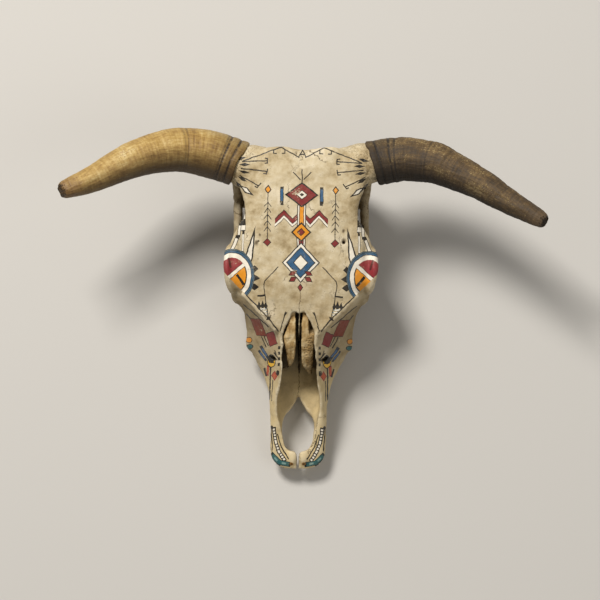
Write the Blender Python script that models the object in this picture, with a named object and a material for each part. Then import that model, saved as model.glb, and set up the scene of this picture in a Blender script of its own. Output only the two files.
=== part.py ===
"""A steer's skull lying on its cheek teeth and ear-side prongs, with its two horn sheaths.

The skull is drawn in its own face frame, in millimetres: X to the viewer's right when
looking at the forehead, Y from the muzzle tip up to the poll, Z out of the forehead.
An empty then lays it down, tipped so that the teeth and the prongs meet the table at Z = 0.
"""

import math

import bmesh
import bpy
from mathutils import Matrix, Vector

MM = 0.001

# Driving dimensions, in millimetres and degrees
SKULL_LENGTH = 478.0  # muzzle tip to poll, along the forehead
REST_TILT = 10.0  # slope of the forehead when the skull lies on its teeth
BITE_DEPTH = 113.8  # grinding plane below the forehead plane, at the muzzle tip
BITE_SLOPE = math.tan(math.radians(REST_TILT))
SEAT_GAP = 0.4  # clear gap between a piece and the bone that holds it
CENTRE_X = 1.8  # middle of the whole width, a little right of the face because of the horns
CENTRE_Y = 258.4  # middle of the whole length along the table

FUSE_VOXEL = 3.0  # grain at which the bones grow together
BONE_SHARE = 0.034  # share of the fused bone's triangles that is kept


def lay_down():
    """The empty that carries everything from the face frame to the table."""
    carrier = bpy.data.objects.new("resting_pose", None)
    tilt = math.radians(REST_TILT)
    carrier.rotation_euler = (tilt, 0.0, 0.0)
    carrier.location = (-CENTRE_X * MM, -CENTRE_Y * MM, BITE_DEPTH * math.cos(tilt) * MM)
    bpy.context.scene.collection.objects.link(carrier)
    return carrier


def bite_z(y):
    """Height of the table plane in the face frame, at a distance y from the muzzle tip."""
    return -(BITE_DEPTH + BITE_SLOPE * y)


def material(name, colour, roughness):
    """A plain surface of one colour, given in linear values."""
    made = bpy.data.materials.new(name)
    made.use_nodes = True
    shader = made.node_tree.nodes["Principled BSDF"]
    shader.inputs["Base Color"].default_value = (*colour, 1.0)
    shader.inputs["Roughness"].default_value = roughness
    shader.inputs["Metallic"].default_value = 0.0
    return made


def to_object(bm, name, finish=None):
    """Turns a bmesh drawn in millimetres into an object in metres, facing outwards."""
    bmesh.ops.recalc_face_normals(bm, faces=bm.faces)
    bmesh.ops.scale(bm, vec=(MM, MM, MM), verts=bm.verts)
    mesh = bpy.data.meshes.new(name)
    bm.to_mesh(mesh)
    bm.free()
    if finish:
        mesh.materials.append(finish)
    made = bpy.data.objects.new(name, mesh)
    bpy.context.scene.collection.objects.link(made)
    return made


def helper(made):
    """Marks an object as a cutter or a guide."""
    made.hide_render = True
    made.display_type = "WIRE"
    return made


def between(p0, p1, p2, p3, t):
    """Catmull-Rom value between p1 and p2."""
    return 0.5 * (
        2 * p1
        + (p2 - p0) * t
        + (2 * p0 - 5 * p1 + 4 * p2 - p3) * t * t
        + (3 * p1 - p0 - 3 * p2 + p3) * t * t * t
    )


def smooth_line(points, steps):
    """An open smooth line through the points, with a number of steps between each two."""
    rows = [Vector(p) for p in points]
    rows = [2 * rows[0] - rows[1]] + rows + [2 * rows[-1] - rows[-2]]
    line = []
    for i in range(1, len(rows) - 2):
        line += [between(*rows[i - 1 : i + 3], step / steps) for step in range(steps)]
    return line + [rows[-2]]


def smooth_ring(points, steps):
    """A closed smooth line through the points."""
    rows = [Vector(p) for p in points]
    ring = []
    for i in range(len(rows)):
        four = [rows[(i + k - 1) % len(rows)] for k in range(4)]
        ring += [between(*four, step / steps) for step in range(steps)]
    return ring


def skin(bm, rings):
    """Closes a row of rings, each with the same number of points, into one solid."""
    made = [[bm.verts.new(p) for p in ring] for ring in rings]
    count = len(made[0])
    for low, high in zip(made, made[1:]):
        for i in range(count):
            j = (i + 1) % count
            bm.faces.new((low[i], low[j], high[j], high[i]))
    bm.faces.new(made[0])
    bm.faces.new(made[-1])


def section_ring(half, y, steps=3):
    """A left-right symmetric section from its right half, given top to bottom as (x, z)."""
    right = [(x, y, z) for x, z in half]
    left = [(-x, y, z) for x, z in reversed(half[1:-1])]
    return smooth_ring(right + left, steps)


def hull(bm, sections, steps=3):
    """A solid through symmetric sections, given as (y, [(x, z), ...])."""
    stations = [
        [component for x, z in half for component in (x, z)] + [y] for y, half in sections
    ]
    rows = [Vector(s) for s in stations]
    rows = [2 * rows[0] - rows[1]] + rows + [2 * rows[-1] - rows[-2]]
    flat = []
    for i in range(1, len(rows) - 2):
        flat += [between(*rows[i - 1 : i + 3], step / steps) for step in range(steps)]
    flat.append(rows[-2])
    rings = []
    for row in flat:
        half = [(row[k], row[k + 1]) for k in range(0, len(row) - 1, 2)]
        rings.append(section_ring(half, row[len(row) - 1]))
    skin(bm, rings)


def bar(bm, points, radii, flat=(0.0, 0.0, 1.0), sides=12, steps=3):
    """A rounded bar along a smooth line. radii are (across, along flat) at each point."""
    line = smooth_line(points, steps)
    sizes = smooth_line([(a, b, 0.0) for a, b in radii], steps)
    rings = []
    for i, centre in enumerate(line):
        ahead = line[min(i + 1, len(line) - 1)] - line[max(i - 1, 0)]
        ahead.normalize()
        across = ahead.cross(Vector(flat)).normalized()
        up = across.cross(ahead).normalized()
        rings.append(
            [
                centre
                + across * sizes[i].x * math.cos(2 * math.pi * k / sides)
                + up * sizes[i].y * math.sin(2 * math.pi * k / sides)
                for k in range(sides)
            ]
        )
    skin(bm, rings)


def blob(bm, centre, radii, turn=(0.0, 0.0, 0.0)):
    """A stretched ball, turned by degrees about X, Y and Z."""
    spin = Matrix.Identity(4)
    for axis, degrees in zip("XYZ", turn):
        spin = Matrix.Rotation(math.radians(degrees), 4, axis) @ spin
    place = Matrix.Translation(centre) @ spin @ Matrix.Diagonal((*radii, 1.0))
    bmesh.ops.create_uvsphere(bm, u_segments=20, v_segments=12, radius=1.0, matrix=place)


def slab(bm, outline, bottom, top):
    """An outline in X and Y, pulled from one height to another."""
    skin(bm, [[(x, y, z) for x, y in outline] for z in (bottom, top)])


def pair(build):
    """Runs a builder for the left side, -1, and the right side, 1."""
    for side in (-1, 1):
        build(side)


# The face: roof middle, roof, crest, cheek, outer gum, inner gum, palate middle
FACE = [
    (-1, [(0, -83), (7, -83), (13, -83), (17, -87), (13, -91), (7, -91), (0, -91)]),
    (5, [(0, -81), (15, -81), (25, -81), (31, -86), (25, -92), (14, -93), (0, -92)]),
    (16, [(0, -79), (18, -79), (32, -79), (39, -86), (33, -94), (20, -95), (0, -93)]),
    (35, [(0, -77), (18, -77), (34, -76), (41, -85), (36, -96), (22, -97), (0, -94)]),
    (60, [(0, -72), (20, -72), (35, -70), (41.5, -82), (37, -98), (24, -99), (0, -95)]),
    (85, [(0, -66), (20, -65), (35, -62), (42.5, -80), (39, -101), (26, -102), (0, -97)]),
    (108, [(0, -56), (18, -55), (34, -52), (44, -78), (42, -106), (28, -107), (0, -101)]),
    (125, [(0, -48), (18, -46), (31, -44), (47.5, -80), (45, -112), (30, -112), (0, -104)]),
    (145, [(0, -38), (18, -36), (29, -36), (56, -84), (52, -120), (33, -118), (0, -107)]),
    (165, [(0, -31), (18, -29), (28.5, -30), (66, -87), (57, -125), (36, -123), (0, -110)]),
    (188, [(0, -24), (20, -22), (29.5, -24), (77, -88), (61, -129), (39, -127), (0, -113)]),
    (206, [(0, -18), (20, -16), (34, -19), (80, -84), (64, -131), (41, -129), (0, -115)]),
    (230, [(0, -10), (34, -9), (54, -15), (84, -74), (66, -133), (42, -131), (0, -117)]),
    (250, [(0, -5), (48, -5), (72, -13), (95, -66), (67, -134), (42, -132), (0, -118)]),
    (268, [(0, -2), (54, -2), (84, -14), (100, -62), (64, -132), (42, -130), (0, -118)]),
    (284, [(0, 0), (58, 0), (90, -14), (94, -58), (56, -122), (36, -120), (0, -114)]),
    (296, [(0, 0), (56, -3), (80, -20), (74, -56), (44, -106), (26, -108), (0, -110)]),
]

# The cranium: roof middle, roof, temporal line, temple hollow, brain wall, lower wall, base
CRANIUM = [
    (262, [(0, -3), (50, -3), (80, -14), (62, -45), (44, -85), (26, -112), (0, -116)]),
    (300, [(0, 1), (58, 0), (92, -12), (52, -42), (44, -85), (26, -118), (0, -124)]),
    (338, [(0, 3), (60, 1), (93, -11), (55, -42), (50, -85), (28, -126), (0, -132)]),
    (360, [(0, 4), (59, 2), (88, -10), (57, -42), (54, -88), (32, -131), (0, -137)]),
    (384, [(0, 4), (58, 3), (84, -9), (59, -42), (60, -92), (35, -135), (0, -141)]),
    (404, [(0, 4), (60, 3), (88, -10), (64, -48), (66, -96), (38, -137), (0, -143)]),
    (424, [(0, 3), (64, 1), (94, -13), (76, -54), (74, -98), (42, -138), (0, -144)]),
    (446, [(0, 1), (66, -2), (95, -17), (84, -54), (80, -96), (46, -134), (0, -140)]),
    (462, [(0, -3), (66, -6), (88, -20), (82, -54), (76, -88), (44, -116), (0, -122)]),
    (470, [(0, -9), (60, -12), (76, -24), (70, -52), (62, -76), (34, -92), (0, -96)]),
]

# The hollow of the nose: roof middle, roof, upper wall, side wall, floor edge, floor middle
NOSE_HOLLOW = [
    (36, [(0, -40), (19, -42), (20, -70), (19, -74), (14, -79), (0, -80)]),
    (60, [(0, -36), (25, -38), (26, -66), (26, -74), (20, -86), (0, -88)]),
    (82, [(0, -30), (31, -32), (31.5, -62), (31, -74), (26, -89), (0, -92)]),
    (105, [(0, -20), (32, -22), (32, -58), (34, -76), (29, -94), (0, -96)]),
    (122, [(0, -12), (28.5, -14), (28.5, -50), (36, -78), (31, -98), (0, -99)]),
    (142, [(0, -10), (25, -12), (26, -42), (42, -78), (33, -102), (0, -102)]),
    (165, [(0, -8), (24, -10), (25, -36), (50, -78), (36, -105), (0, -104)]),
    (188, [(0, -6), (20, -10), (24, -30), (56, -80), (40, -108), (0, -107)]),
    (206, [(0, -24), (14, -24), (26, -34), (58, -78), (40, -110), (0, -109)]),
    (232, [(0, -22), (14, -22), (30, -32), (56, -72), (40, -110), (0, -110)]),
    (262, [(0, -26), (14, -26), (28, -38), (46, -66), (32, -102), (0, -106)]),
    (290, [(0, -42), (10, -43), (18, -50), (26, -66), (20, -90), (0, -95)]),
]

# Half outlines seen from the forehead side, as (x, y)
NOSE_MOUTH = [(0, 234), (10, 231), (15, 224), (20, 211), (26, 202), (24, 192), (25.5, 178), (25, 150)]
MUZZLE_GAP = [
    (0, 107),
    (4, 99),
    (11, 89),
    (20, 79),
    (25, 67),
    (24.5, 52),
    (22, 38),
    (17.5, 28),
    (13, 25),
    (5, 24),
    (2.2, 20),
    (1.8, 5),
    (1.8, -12),
]


def bones():
    """Everything that stands out, as overlapping solids that fuse into one."""
    bm = bmesh.new()
    hull(bm, FACE)
    hull(bm, CRANIUM)
    edge = SKULL_LENGTH - 9
    poll = [(-78, -10, -20), (-36, 0, -14), (4, -4, -14), (44, 0, -14), (80, -10, -20)]
    poll = [(x, edge + back, z) for x, back, z in poll]
    bar(bm, poll, [(10, 11), (9.5, 11), (9, 10), (9.5, 11), (10, 11)])
    blob(bm, (0, edge - 6, -72), (14, 12, 34))
    base = [(0, 290, -122), (0, 370, -138), (0, 424, -144), (0, 446, -144)]
    bar(bm, base, [(14, 9), (19, 10), (24, 12), (22, 11)])
    pair(lambda side: orbit_bones(bm, side))
    pair(lambda side: rear_bones(bm, side))
    pair(lambda side: horn_core(bm, side))
    return bm


ORBIT_CENTRE = (101, 297, -45)  # middle of the right eye socket's rim
ORBIT_RADIUS = 32  # from there to the middle of the rim


def orbit_bones(bm, side):
    """Rim, roof and cheek strut of one eye socket, and the arch that runs back from it."""
    cx, cy, cz = ORBIT_CENTRE
    rim = []
    for k in range(17):
        angle = 2 * math.pi * k / 16
        along, up = math.cos(angle), math.sin(angle)
        out = cx + (8 * up if up > 0 else -2 * up) + 2 * along - 1.5 * along * along
        rim.append((side * out, cy + ORBIT_RADIUS * along, cz + ORBIT_RADIUS * up))
    bar(bm, rim, [(7, 5.5)] * len(rim), flat=(1.0, 0.0, 0.0), sides=10, steps=2)
    blob(bm, (side * 76, 300, -24), (35, 36, 20), turn=(0, side * 16, 0))
    blob(bm, (side * 90, 262, -58), (14, 18, 22))
    brow = [(side * 80, 366, -18), (side * 90, 348, -20), (side * 98, 330, -24), (side * 104, 314, -24)]
    bar(bm, brow, [(8, 7), (8, 8), (8, 9), (8, 8)])
    strut = [(side * 96, 330, -26), (side * 99, 331, -46), (side * 98, 330, -70)]
    bar(bm, strut, [(8, 8), (7, 8), (7, 12)], flat=(0.0, 1.0, 0.0))
    arch = [(96, 326, -68), (95, 345, -73), (94.5, 372, -76), (94, 394, -78), (88, 410, -84)]
    arch = [(side * x, y, z) for x, y, z in arch]
    bar(bm, arch, [(6.5, 12), (6.5, 10), (6.5, 9), (7, 10), (12, 12)])
    rise = [(side * 92, 400, -80), (side * 95, 420, -66), (side * 92, 438, -50)]
    bar(bm, rise, [(8, 9), (9, 10), (12, 12)])


def rear_bones(bm, side):
    """Jaw hinge seat, temple crest, ear bulb, neck knuckle and ear-side prong."""
    blob(bm, (side * 76, 404, -93), (27, 17, 11))
    crest = [(84, 446, -40), (90, 448, -72), (84, 446, -102), (62, 446, -128)]
    bar(bm, [(side * x, y, z) for x, y, z in crest], [(9, 9)] * 4, flat=(0.0, 1.0, 0.0))
    blob(bm, (side * 36, 412, -150), (11, 17, 16))
    blob(bm, (side * 66, 426, -112), (12, 12, 10))
    blob(bm, (side * 26, 450, -138), (14, 21, 18), turn=(24, 0, side * -15))
    prong = [(56, 436, -112), (53, 438, -148), (48, 437, -178), (45, 435, -200)]
    prong = [(side * x, y, z) for x, y, z in prong]
    bar(bm, prong, [(14, 13), (13, 11), (10, 9), (6.5, 7)], flat=(0.0, 1.0, 0.0))
    wing = [(17, 272, -108), (18, 300, -124), (19, 326, -142), (19, 338, -156)]
    bar(bm, [(side * x, y, z) for x, y, z in wing], [(4, 16), (4, 18), (4, 15), (4, 6)])


# Horn axes: (x, y, z, radius), from the rim at the skull to the blunt tip
LEFT_HORN = [
    (-96, 453, -34, 35.5),
    (-133, 465, -33, 36.5),
    (-168, 471, -28, 34.5),
    (-197, 470, -20, 33),
    (-231, 462, -8, 29.5),
    (-269, 446, 8, 25.5),
    (-312, 423, 27, 20),
    (-354, 406, 44, 14.5),
]
RIGHT_HORN = [
    (105, 456, -34, 34.5),
    (131, 461, -33, 34.5),
    (154, 463, -29, 33.5),
    (176, 461, -23, 32.5),
    (199, 457, -16, 31),
    (222, 447, -8, 28.5),
    (251, 433, 4, 25.5),
    (279, 417, 17, 22.5),
    (308, 399, 31, 19),
    (337, 383, 44, 15.5),
    (357, 371, 53, 13),
]
LEFT_RINGS = (9, 19, 31, 78, 84)  # grooves, in millimetres from the rim
RIGHT_RINGS = (8, 17, 25, 34, 62)
RING_DEPTH = 1.3  # depth of a groove
CORE_LENGTH = 44.0  # how far the bone core reaches into the sheath
CORE_SLACK = 2.0  # loose fit of the sheath on its core
SHEATH_WALL = 4.5  # keratin at the rim
SHEATH_SIDES = 18


def horn_axis(side):
    """The axis of the left horn, -1, or the right one, 1."""
    return LEFT_HORN if side < 0 else RIGHT_HORN


def rim_frame(side):
    """Centre of the sheath's rim, the way the horn leaves it, and the rim's radius."""
    rows = horn_axis(side)
    start = Vector(rows[0][:3])
    return start, (Vector(rows[1][:3]) - start).normalized(), rows[0][3]


def horn_core(bm, side):
    """The bone neck under the horn and the short core that the sheath slides over."""
    centre, out, radius = rim_frame(side)
    core = radius - SHEATH_WALL - CORE_SLACK
    root = Vector((side * 60, 444, -34))
    points = [root, centre - out * 14, centre - out * 3, centre + out * 20, centre + out * CORE_LENGTH]
    sizes = [34, radius - 2, core + 1, core - 1, core - 8]
    bar(bm, points, [(r, r) for r in sizes], sides=20)


def hollows():
    """Everything that is cut away: nose, eye sockets, throat and the spinal cord's hole."""
    bm = bmesh.new()
    hull(bm, NOSE_HOLLOW)
    mouth = NOSE_MOUTH + [(-x, y) for x, y in reversed(NOSE_MOUTH[1:])]
    slab(bm, mouth, -60, 20)
    gap = MUZZLE_GAP + [(-x, y) for x, y in reversed(MUZZLE_GAP[1:])]
    slab(bm, gap, -140, -40)
    throat = [(0, 262, -96), (0, 292, -112), (0, 322, -134), (0, 352, -160)]
    bar(bm, throat, [(14, 13), (14, 15), (14, 12), (13, 10)])
    blob(bm, (0, 468, -120), (17, 36, 15))
    pair(lambda side: socket(bm, side))
    return bm


def socket(bm, side):
    """One eye socket, open sideways and, behind the eyeball, towards the temple."""
    cx, cy, cz = ORBIT_CENTRE
    line = [(cx + 40, cy - 4, cz), (cx, cy, cz), (cx - 22, cy + 4, cz - 2), (cx - 44, cy + 10, cz - 6)]
    line = [(side * x, y, z) for x, y, z in line]
    bar(bm, line, [(29, 29), (26.5, 26.5), (25, 24), (10, 12)], sides=20)
    blob(bm, (side * 76, 336, -56), (15, 34, 26))


def scrolls():
    """What stands inside the nose: two pairs of scroll bones and the septum's foot."""
    bm = bmesh.new()
    for side in (-1, 1):
        upper = [(11, 252, -30), (12, 232, -26), (14, 212, -28), (14, 194, -34)]
        upper += [(12.5, 174, -46), (10, 157, -58)]
        upper = [(side * x, y, z) for x, y, z in upper]
        bar(bm, upper, [(6, 12), (7, 13), (9, 14), (9.5, 14), (7, 12), (3, 6)])
        shelf = [(24, 250, -44), (26, 220, -46), (28, 196, -52)]
        bar(bm, [(side * x, y, z) for x, y, z in shelf], [(20, 4), (20, 4), (18, 4)])
        lower = [(30, 240, -78), (28, 200, -80), (24, 168, -84), (20, 150, -88)]
        bar(bm, [(side * x, y, z) for x, y, z in lower], [(12, 10), (12, 10), (10, 9), (5, 5)])
        web = [(46, 240, -76), (44, 200, -80), (36, 168, -84)]
        bar(bm, [(side * x, y, z) for x, y, z in web], [(16, 4), (18, 4), (14, 4)])
    septum = [(0, 284, -90), (0, 230, -98), (0, 170, -99), (0, 116, -96)]
    bar(bm, septum, [(2.6, 22), (2.4, 20), (2.2, 12), (2, 6)])
    return bm


# Cheek teeth, front to back: name, length along the row, width, middle of the row from the midline
TEETH = [
    ("premolar_2", 14.5, 14.0, 42.5),
    ("premolar_3", 17.0, 17.0, 46.5),
    ("premolar_4", 17.0, 19.5, 49.5),
    ("molar_1", 22.0, 22.0, 51.5),
    ("molar_2", 26.0, 23.0, 53.0),
    ("molar_3", 28.0, 22.0, 53.5),
]
TOOTH_ROW_START = 143.0  # front of the row, from the muzzle tip
TOOTH_SPACE = 0.9  # between two teeth
ROOT_DEPTH = 12.0  # how deep a tooth sits in the jaw, above the gum line
TROUGH_REACH = 14.0  # how far the cut for the teeth runs out below the gum line
GUM_FRONT = -119.0  # gum line below the forehead plane, at the front of the row
GUM_BACK = -133.0  # and at its back


def tooth_places():
    """Name, middle (x, y), length and width of each tooth of one row."""
    y = TOOTH_ROW_START
    for name, length, width, x in TEETH:
        yield name, x, y + length / 2, length, width
        y += length + TOOTH_SPACE


def gum_z(y):
    """Height of the gum line in the face frame, lower towards the last molar."""
    share = (y - TOOTH_ROW_START) / (270.0 - TOOTH_ROW_START)
    return GUM_FRONT + (GUM_BACK - GUM_FRONT) * min(max(share, 0.0), 1.0) ** 0.7


def tooth_ring(x, y, length, width, lobes, height, swell=1.0, sides=16):
    """A crown's outline: a rounded box, pinched between its lobes, cut by a plane or a height."""
    ring = []
    for k in range(sides):
        angle = 2 * math.pi * k / sides
        c, s = math.cos(angle), math.sin(angle)
        along = math.copysign(abs(s) ** 0.55, s) * length / 2 * swell
        across = math.copysign(abs(c) ** 0.6, c) * width / 2 * swell
        across *= 1.0 - (0.08 * (1 + math.cos(2 * math.pi * along / length)) if lobes == 2 else 0.0)
        z = height if height is not None else bite_z(y + along)
        ring.append((x + across, y + along, z))
    return ring


def tooth(carrier, side, name, x, y, length, width, enamel):
    """One cheek tooth, from its root in the jaw down to its worn grinding face."""
    lobes = 2 if name.startswith("molar") else 1
    top = gum_z(y) + ROOT_DEPTH
    bm = bmesh.new()
    skin(
        bm,
        [
            tooth_ring(side * x, y, length, width, lobes, top, 0.84),
            tooth_ring(side * x, y, length, width, lobes, gum_z(y) - 5, 0.97),
            tooth_ring(side * x, y, length, width, lobes, None, 1.0),
        ],
    )
    word = "left" if side < 0 else "right"
    made = to_object(bm, f"{name}_{word}", enamel)
    made.parent = carrier


def tooth_trough(side):
    """The trough of one tooth row, a little wider and deeper than the teeth that stand in it."""
    bm = bmesh.new()
    rings = []
    for _, x, y, length, width in tooth_places():
        inner = side * (x - width / 2 - SEAT_GAP)
        outer = side * (x + width / 2 + SEAT_GAP)
        top = gum_z(y) + ROOT_DEPTH + SEAT_GAP
        bottom = gum_z(y) - TROUGH_REACH
        for end in (y - length / 2 - SEAT_GAP, y + length / 2 + SEAT_GAP):
            rings.append([(inner, end, bottom), (outer, end, bottom), (outer, end, top), (inner, end, top)])
    skin(bm, rings)
    return bm


def horn_rings(side, inflate=0.0):
    """Rings of the sheath's outside, with the growth grooves near the skull."""
    rows = horn_axis(side)
    line = smooth_line([r[:3] for r in rows], 4)
    sizes = [v.x for v in smooth_line([(r[3], 0, 0) for r in rows], 4)]
    grooves = LEFT_RINGS if side < 0 else RIGHT_RINGS
    lengths = [0.0]
    for a, b in zip(line, line[1:]):
        lengths.append(lengths[-1] + (b - a).length)

    def at(distance):
        i = max(k for k in range(len(lengths) - 1) if lengths[k] <= distance)
        t = (distance - lengths[i]) / (lengths[i + 1] - lengths[i])
        return line[i].lerp(line[i + 1], t), sizes[i] * (1 - t) + sizes[i + 1] * t

    reach = lengths[-1]
    stops = {0.0, 3.0, reach - 3.0, reach}
    stops |= {reach * k / 12 for k in range(1, 12)}
    for groove in grooves:
        stops = {s for s in stops if abs(s - groove) > 2.5 or s in (0.0, reach)}
        stops |= {groove - 2.2, groove, groove + 2.2}
    rings = []
    up = Vector((0.0, 0.0, 1.0))
    for stop in sorted(stops):
        centre, radius = at(stop)
        before, _ = at(max(stop - 3.0, 0.0))
        after, _ = at(min(stop + 3.0, reach))
        ahead = (after - before).normalized()
        across = ahead.cross(up).normalized()
        lift = across.cross(ahead)
        if any(abs(stop - groove) < 0.1 for groove in grooves):
            radius -= RING_DEPTH
        if stop == reach:
            radius *= 0.8
        radius += inflate
        rings.append(
            [
                centre
                + across * radius * math.cos(2 * math.pi * k / SHEATH_SIDES)
                + lift * radius * math.sin(2 * math.pi * k / SHEATH_SIDES)
                for k in range(SHEATH_SIDES)
            ]
        )
    return rings


def sheath_socket(side):
    """The hollow at the foot of a sheath, which slides over the bone core."""
    centre, out, radius = rim_frame(side)
    mouth = radius - SHEATH_WALL
    bm = bmesh.new()
    points = [centre - out * 6, centre + out * 20, centre + out * (CORE_LENGTH + 4)]
    bar(bm, points, [(mouth, mouth), (mouth - 2, mouth - 2), (mouth - 9, mouth - 9)], sides=16)
    return helper(to_object(bm, "sheath_socket"))


def cut(target, cutter, name, overlapping=False):
    """Takes the cutter's shape away. overlapping says that its own pieces cross each other."""
    step = target.modifiers.new(name, "BOOLEAN")
    step.operation = "DIFFERENCE"
    step.solver = "EXACT"
    step.use_self = overlapping
    step.object = cutter


def join(target, other, name):
    """Adds the other's shape."""
    step = target.modifiers.new(name, "BOOLEAN")
    step.operation = "UNION"
    step.solver = "EXACT"
    step.use_self = True
    step.object = other


def fuse(target, name, voxel):
    """Grows overlapping pieces together at a grain in millimetres."""
    step = target.modifiers.new(name, "REMESH")
    step.mode = "VOXEL"
    step.voxel_size = voxel * MM


def horn(carrier, side, name, keratin):
    """One horn sheath, with the socket that slides over the bone core."""
    bm = bmesh.new()
    skin(bm, horn_rings(side))
    made = to_object(bm, name, keratin)
    made.parent = carrier
    hollow = sheath_socket(side)
    hollow.parent = carrier
    cut(made, hollow, "core socket")
    made.data.shade_smooth()
    return made


def sheath_clearance(carrier, side):
    """The sheath's outside, a little larger, minus its socket: bone keeps clear of it."""
    bm = bmesh.new()
    skin(bm, horn_rings(side, inflate=0.8))
    centre, out, radius = rim_frame(side)
    solid = helper(to_object(bm, "sheath_clearance"))
    solid.parent = carrier
    inner = bmesh.new()
    mouth = radius - SHEATH_WALL - 0.9
    points = [centre - out * 6, centre + out * 20, centre + out * (CORE_LENGTH + 3)]
    bar(inner, points, [(mouth, mouth), (mouth - 2, mouth - 2), (mouth - 9, mouth - 9)], sides=16)
    core = helper(to_object(inner, "core_keep"))
    core.parent = carrier
    cut(solid, core, "keep the core")
    return solid


def table_block(carrier):
    """Everything below the table, so that worn tips and knuckles end on it."""
    bm = bmesh.new()
    corners = [(-300, -100), (300, -100), (300, 600), (-300, 600)]
    skin(bm, [[(x, y, bite_z(y) - drop) for x, y in corners] for drop in (60.0, 0.0)])
    made = helper(to_object(bm, "table_block"))
    made.parent = carrier
    return made


def skull(carrier, bone):
    """The bone: fused, hollowed, given its scroll bones, then cleared of teeth, horns and table."""
    made = to_object(bones(), "skull", bone)
    made.parent = carrier
    fuse(made, "grow together", FUSE_VOXEL)
    cavity = helper(to_object(hollows(), "hollows"))
    cavity.parent = carrier
    cut(made, cavity, "open the hollows", overlapping=True)
    inside = helper(to_object(scrolls(), "scrolls"))
    inside.parent = carrier
    join(made, inside, "scroll bones")
    fuse(made, "grow together again", FUSE_VOXEL * 0.9)
    soften = made.modifiers.new("soften", "SMOOTH")
    soften.factor = 0.5
    soften.iterations = 3
    thin = made.modifiers.new("facets", "DECIMATE")
    thin.decimate_type = "COLLAPSE"
    thin.ratio = BONE_SHARE
    for side in (-1, 1):
        trough = helper(to_object(tooth_trough(side), "tooth_trough"))
        trough.parent = carrier
        cut(made, trough, "tooth trough")
        cut(made, sheath_clearance(carrier, side), "clear of the sheath")
    cut(made, table_block(carrier), "worn flat on the table")
    return made


def main():
    """Clears the scene and builds every piece under the resting pose."""
    for old in list(bpy.data.objects):
        bpy.data.objects.remove(old, do_unlink=True)
    carrier = lay_down()
    bone = material("painted_bone", (0.66, 0.58, 0.44), 0.75)
    enamel = material("tooth", (0.62, 0.52, 0.36), 0.4)
    pale_horn = material("pale_horn", (0.42, 0.30, 0.15), 0.5)
    dark_horn = material("dark_horn", (0.22, 0.16, 0.10), 0.6)
    skull(carrier, bone)
    horn(carrier, -1, "horn_sheath_left", pale_horn)
    horn(carrier, 1, "horn_sheath_right", dark_horn)
    for side in (-1, 1):
        for place in tooth_places():
            tooth(carrier, side, *place, enamel)


main()
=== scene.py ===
import math

import bmesh
import bpy
import numpy as np
from mathutils import Matrix, Vector, noise
from mathutils.bvhtree import BVHTree


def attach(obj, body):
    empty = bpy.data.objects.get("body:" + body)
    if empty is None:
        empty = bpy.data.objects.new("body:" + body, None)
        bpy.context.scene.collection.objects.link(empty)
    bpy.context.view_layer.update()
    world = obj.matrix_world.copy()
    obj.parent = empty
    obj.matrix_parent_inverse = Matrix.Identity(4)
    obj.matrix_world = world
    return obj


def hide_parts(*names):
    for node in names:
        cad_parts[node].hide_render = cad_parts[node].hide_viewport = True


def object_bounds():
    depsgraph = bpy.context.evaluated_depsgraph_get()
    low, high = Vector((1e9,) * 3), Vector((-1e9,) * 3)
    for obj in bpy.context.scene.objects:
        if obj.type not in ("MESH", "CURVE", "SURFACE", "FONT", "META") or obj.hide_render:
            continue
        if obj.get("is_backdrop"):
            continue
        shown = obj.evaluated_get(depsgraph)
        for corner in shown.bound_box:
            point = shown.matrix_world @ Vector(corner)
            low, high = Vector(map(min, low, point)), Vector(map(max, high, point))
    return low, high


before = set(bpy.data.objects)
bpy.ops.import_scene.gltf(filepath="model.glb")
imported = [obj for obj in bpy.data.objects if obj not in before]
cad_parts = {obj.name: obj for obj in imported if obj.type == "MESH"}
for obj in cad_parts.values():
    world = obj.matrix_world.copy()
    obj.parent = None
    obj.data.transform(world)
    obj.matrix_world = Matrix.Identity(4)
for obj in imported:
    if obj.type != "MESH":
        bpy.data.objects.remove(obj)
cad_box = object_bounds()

MM = 0.001
scene = bpy.context.scene

# How the skull lies. It rests on its cheek teeth and on two prongs beside the neck joint, so
# its forehead slopes 10 degrees down to the muzzle. All its forms are drawn in the face frame:
# X to the viewer's right, Y from the muzzle tip to the poll, Z out of the forehead.
REST_TILT = math.radians(10.0)
BITE_DEPTH = 113.8  # grinding plane below the forehead plane at the muzzle tip, in mm
LIE_X = 1.8  # place on the face that lies over the origin, in mm
LIE_Y = 258.4
face_to_table = Matrix.Translation(
    Vector((-LIE_X, -LIE_Y, BITE_DEPTH * math.cos(REST_TILT))) * MM
) @ Matrix.Rotation(REST_TILT, 4, "X")


# The table, the camera and the lights. The skull lies on a plain pale table, and the camera looks
# straight down on the forehead. The light is a wide soft lamp from the upper left, with a weaker
# one from the right.
def hex_linear(code):
    """An sRGB hex colour as linear red, green, blue and a full alpha."""
    parts = [int(code[i : i + 2], 16) / 255 for i in (0, 2, 4)]
    return [c / 12.92 if c <= 0.04045 else ((c + 0.055) / 1.055) ** 2.4 for c in parts] + [1.0]


def fill(tree, node, sockets):
    """Fills a node's sockets, named by place or name. A node gives its first output, a socket is
    linked, and anything else is a plain value."""
    for key, value in sockets.items() if isinstance(sockets, dict) else enumerate(sockets):
        if isinstance(value, bpy.types.Node):
            value = next(out for out in value.outputs if out.enabled)
        if isinstance(value, bpy.types.NodeSocket):
            tree.links.new(value, node.inputs[key])
        else:
            node.inputs[key].default_value = value


def add_node(tree, kind, sockets=(), **settings):
    """Adds a node with its settings and fills its sockets."""
    made = tree.nodes.new("ShaderNode" + kind)
    for key, value in settings.items():
        setattr(made, key, value)
    fill(tree, made, sockets)
    return made


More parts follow.
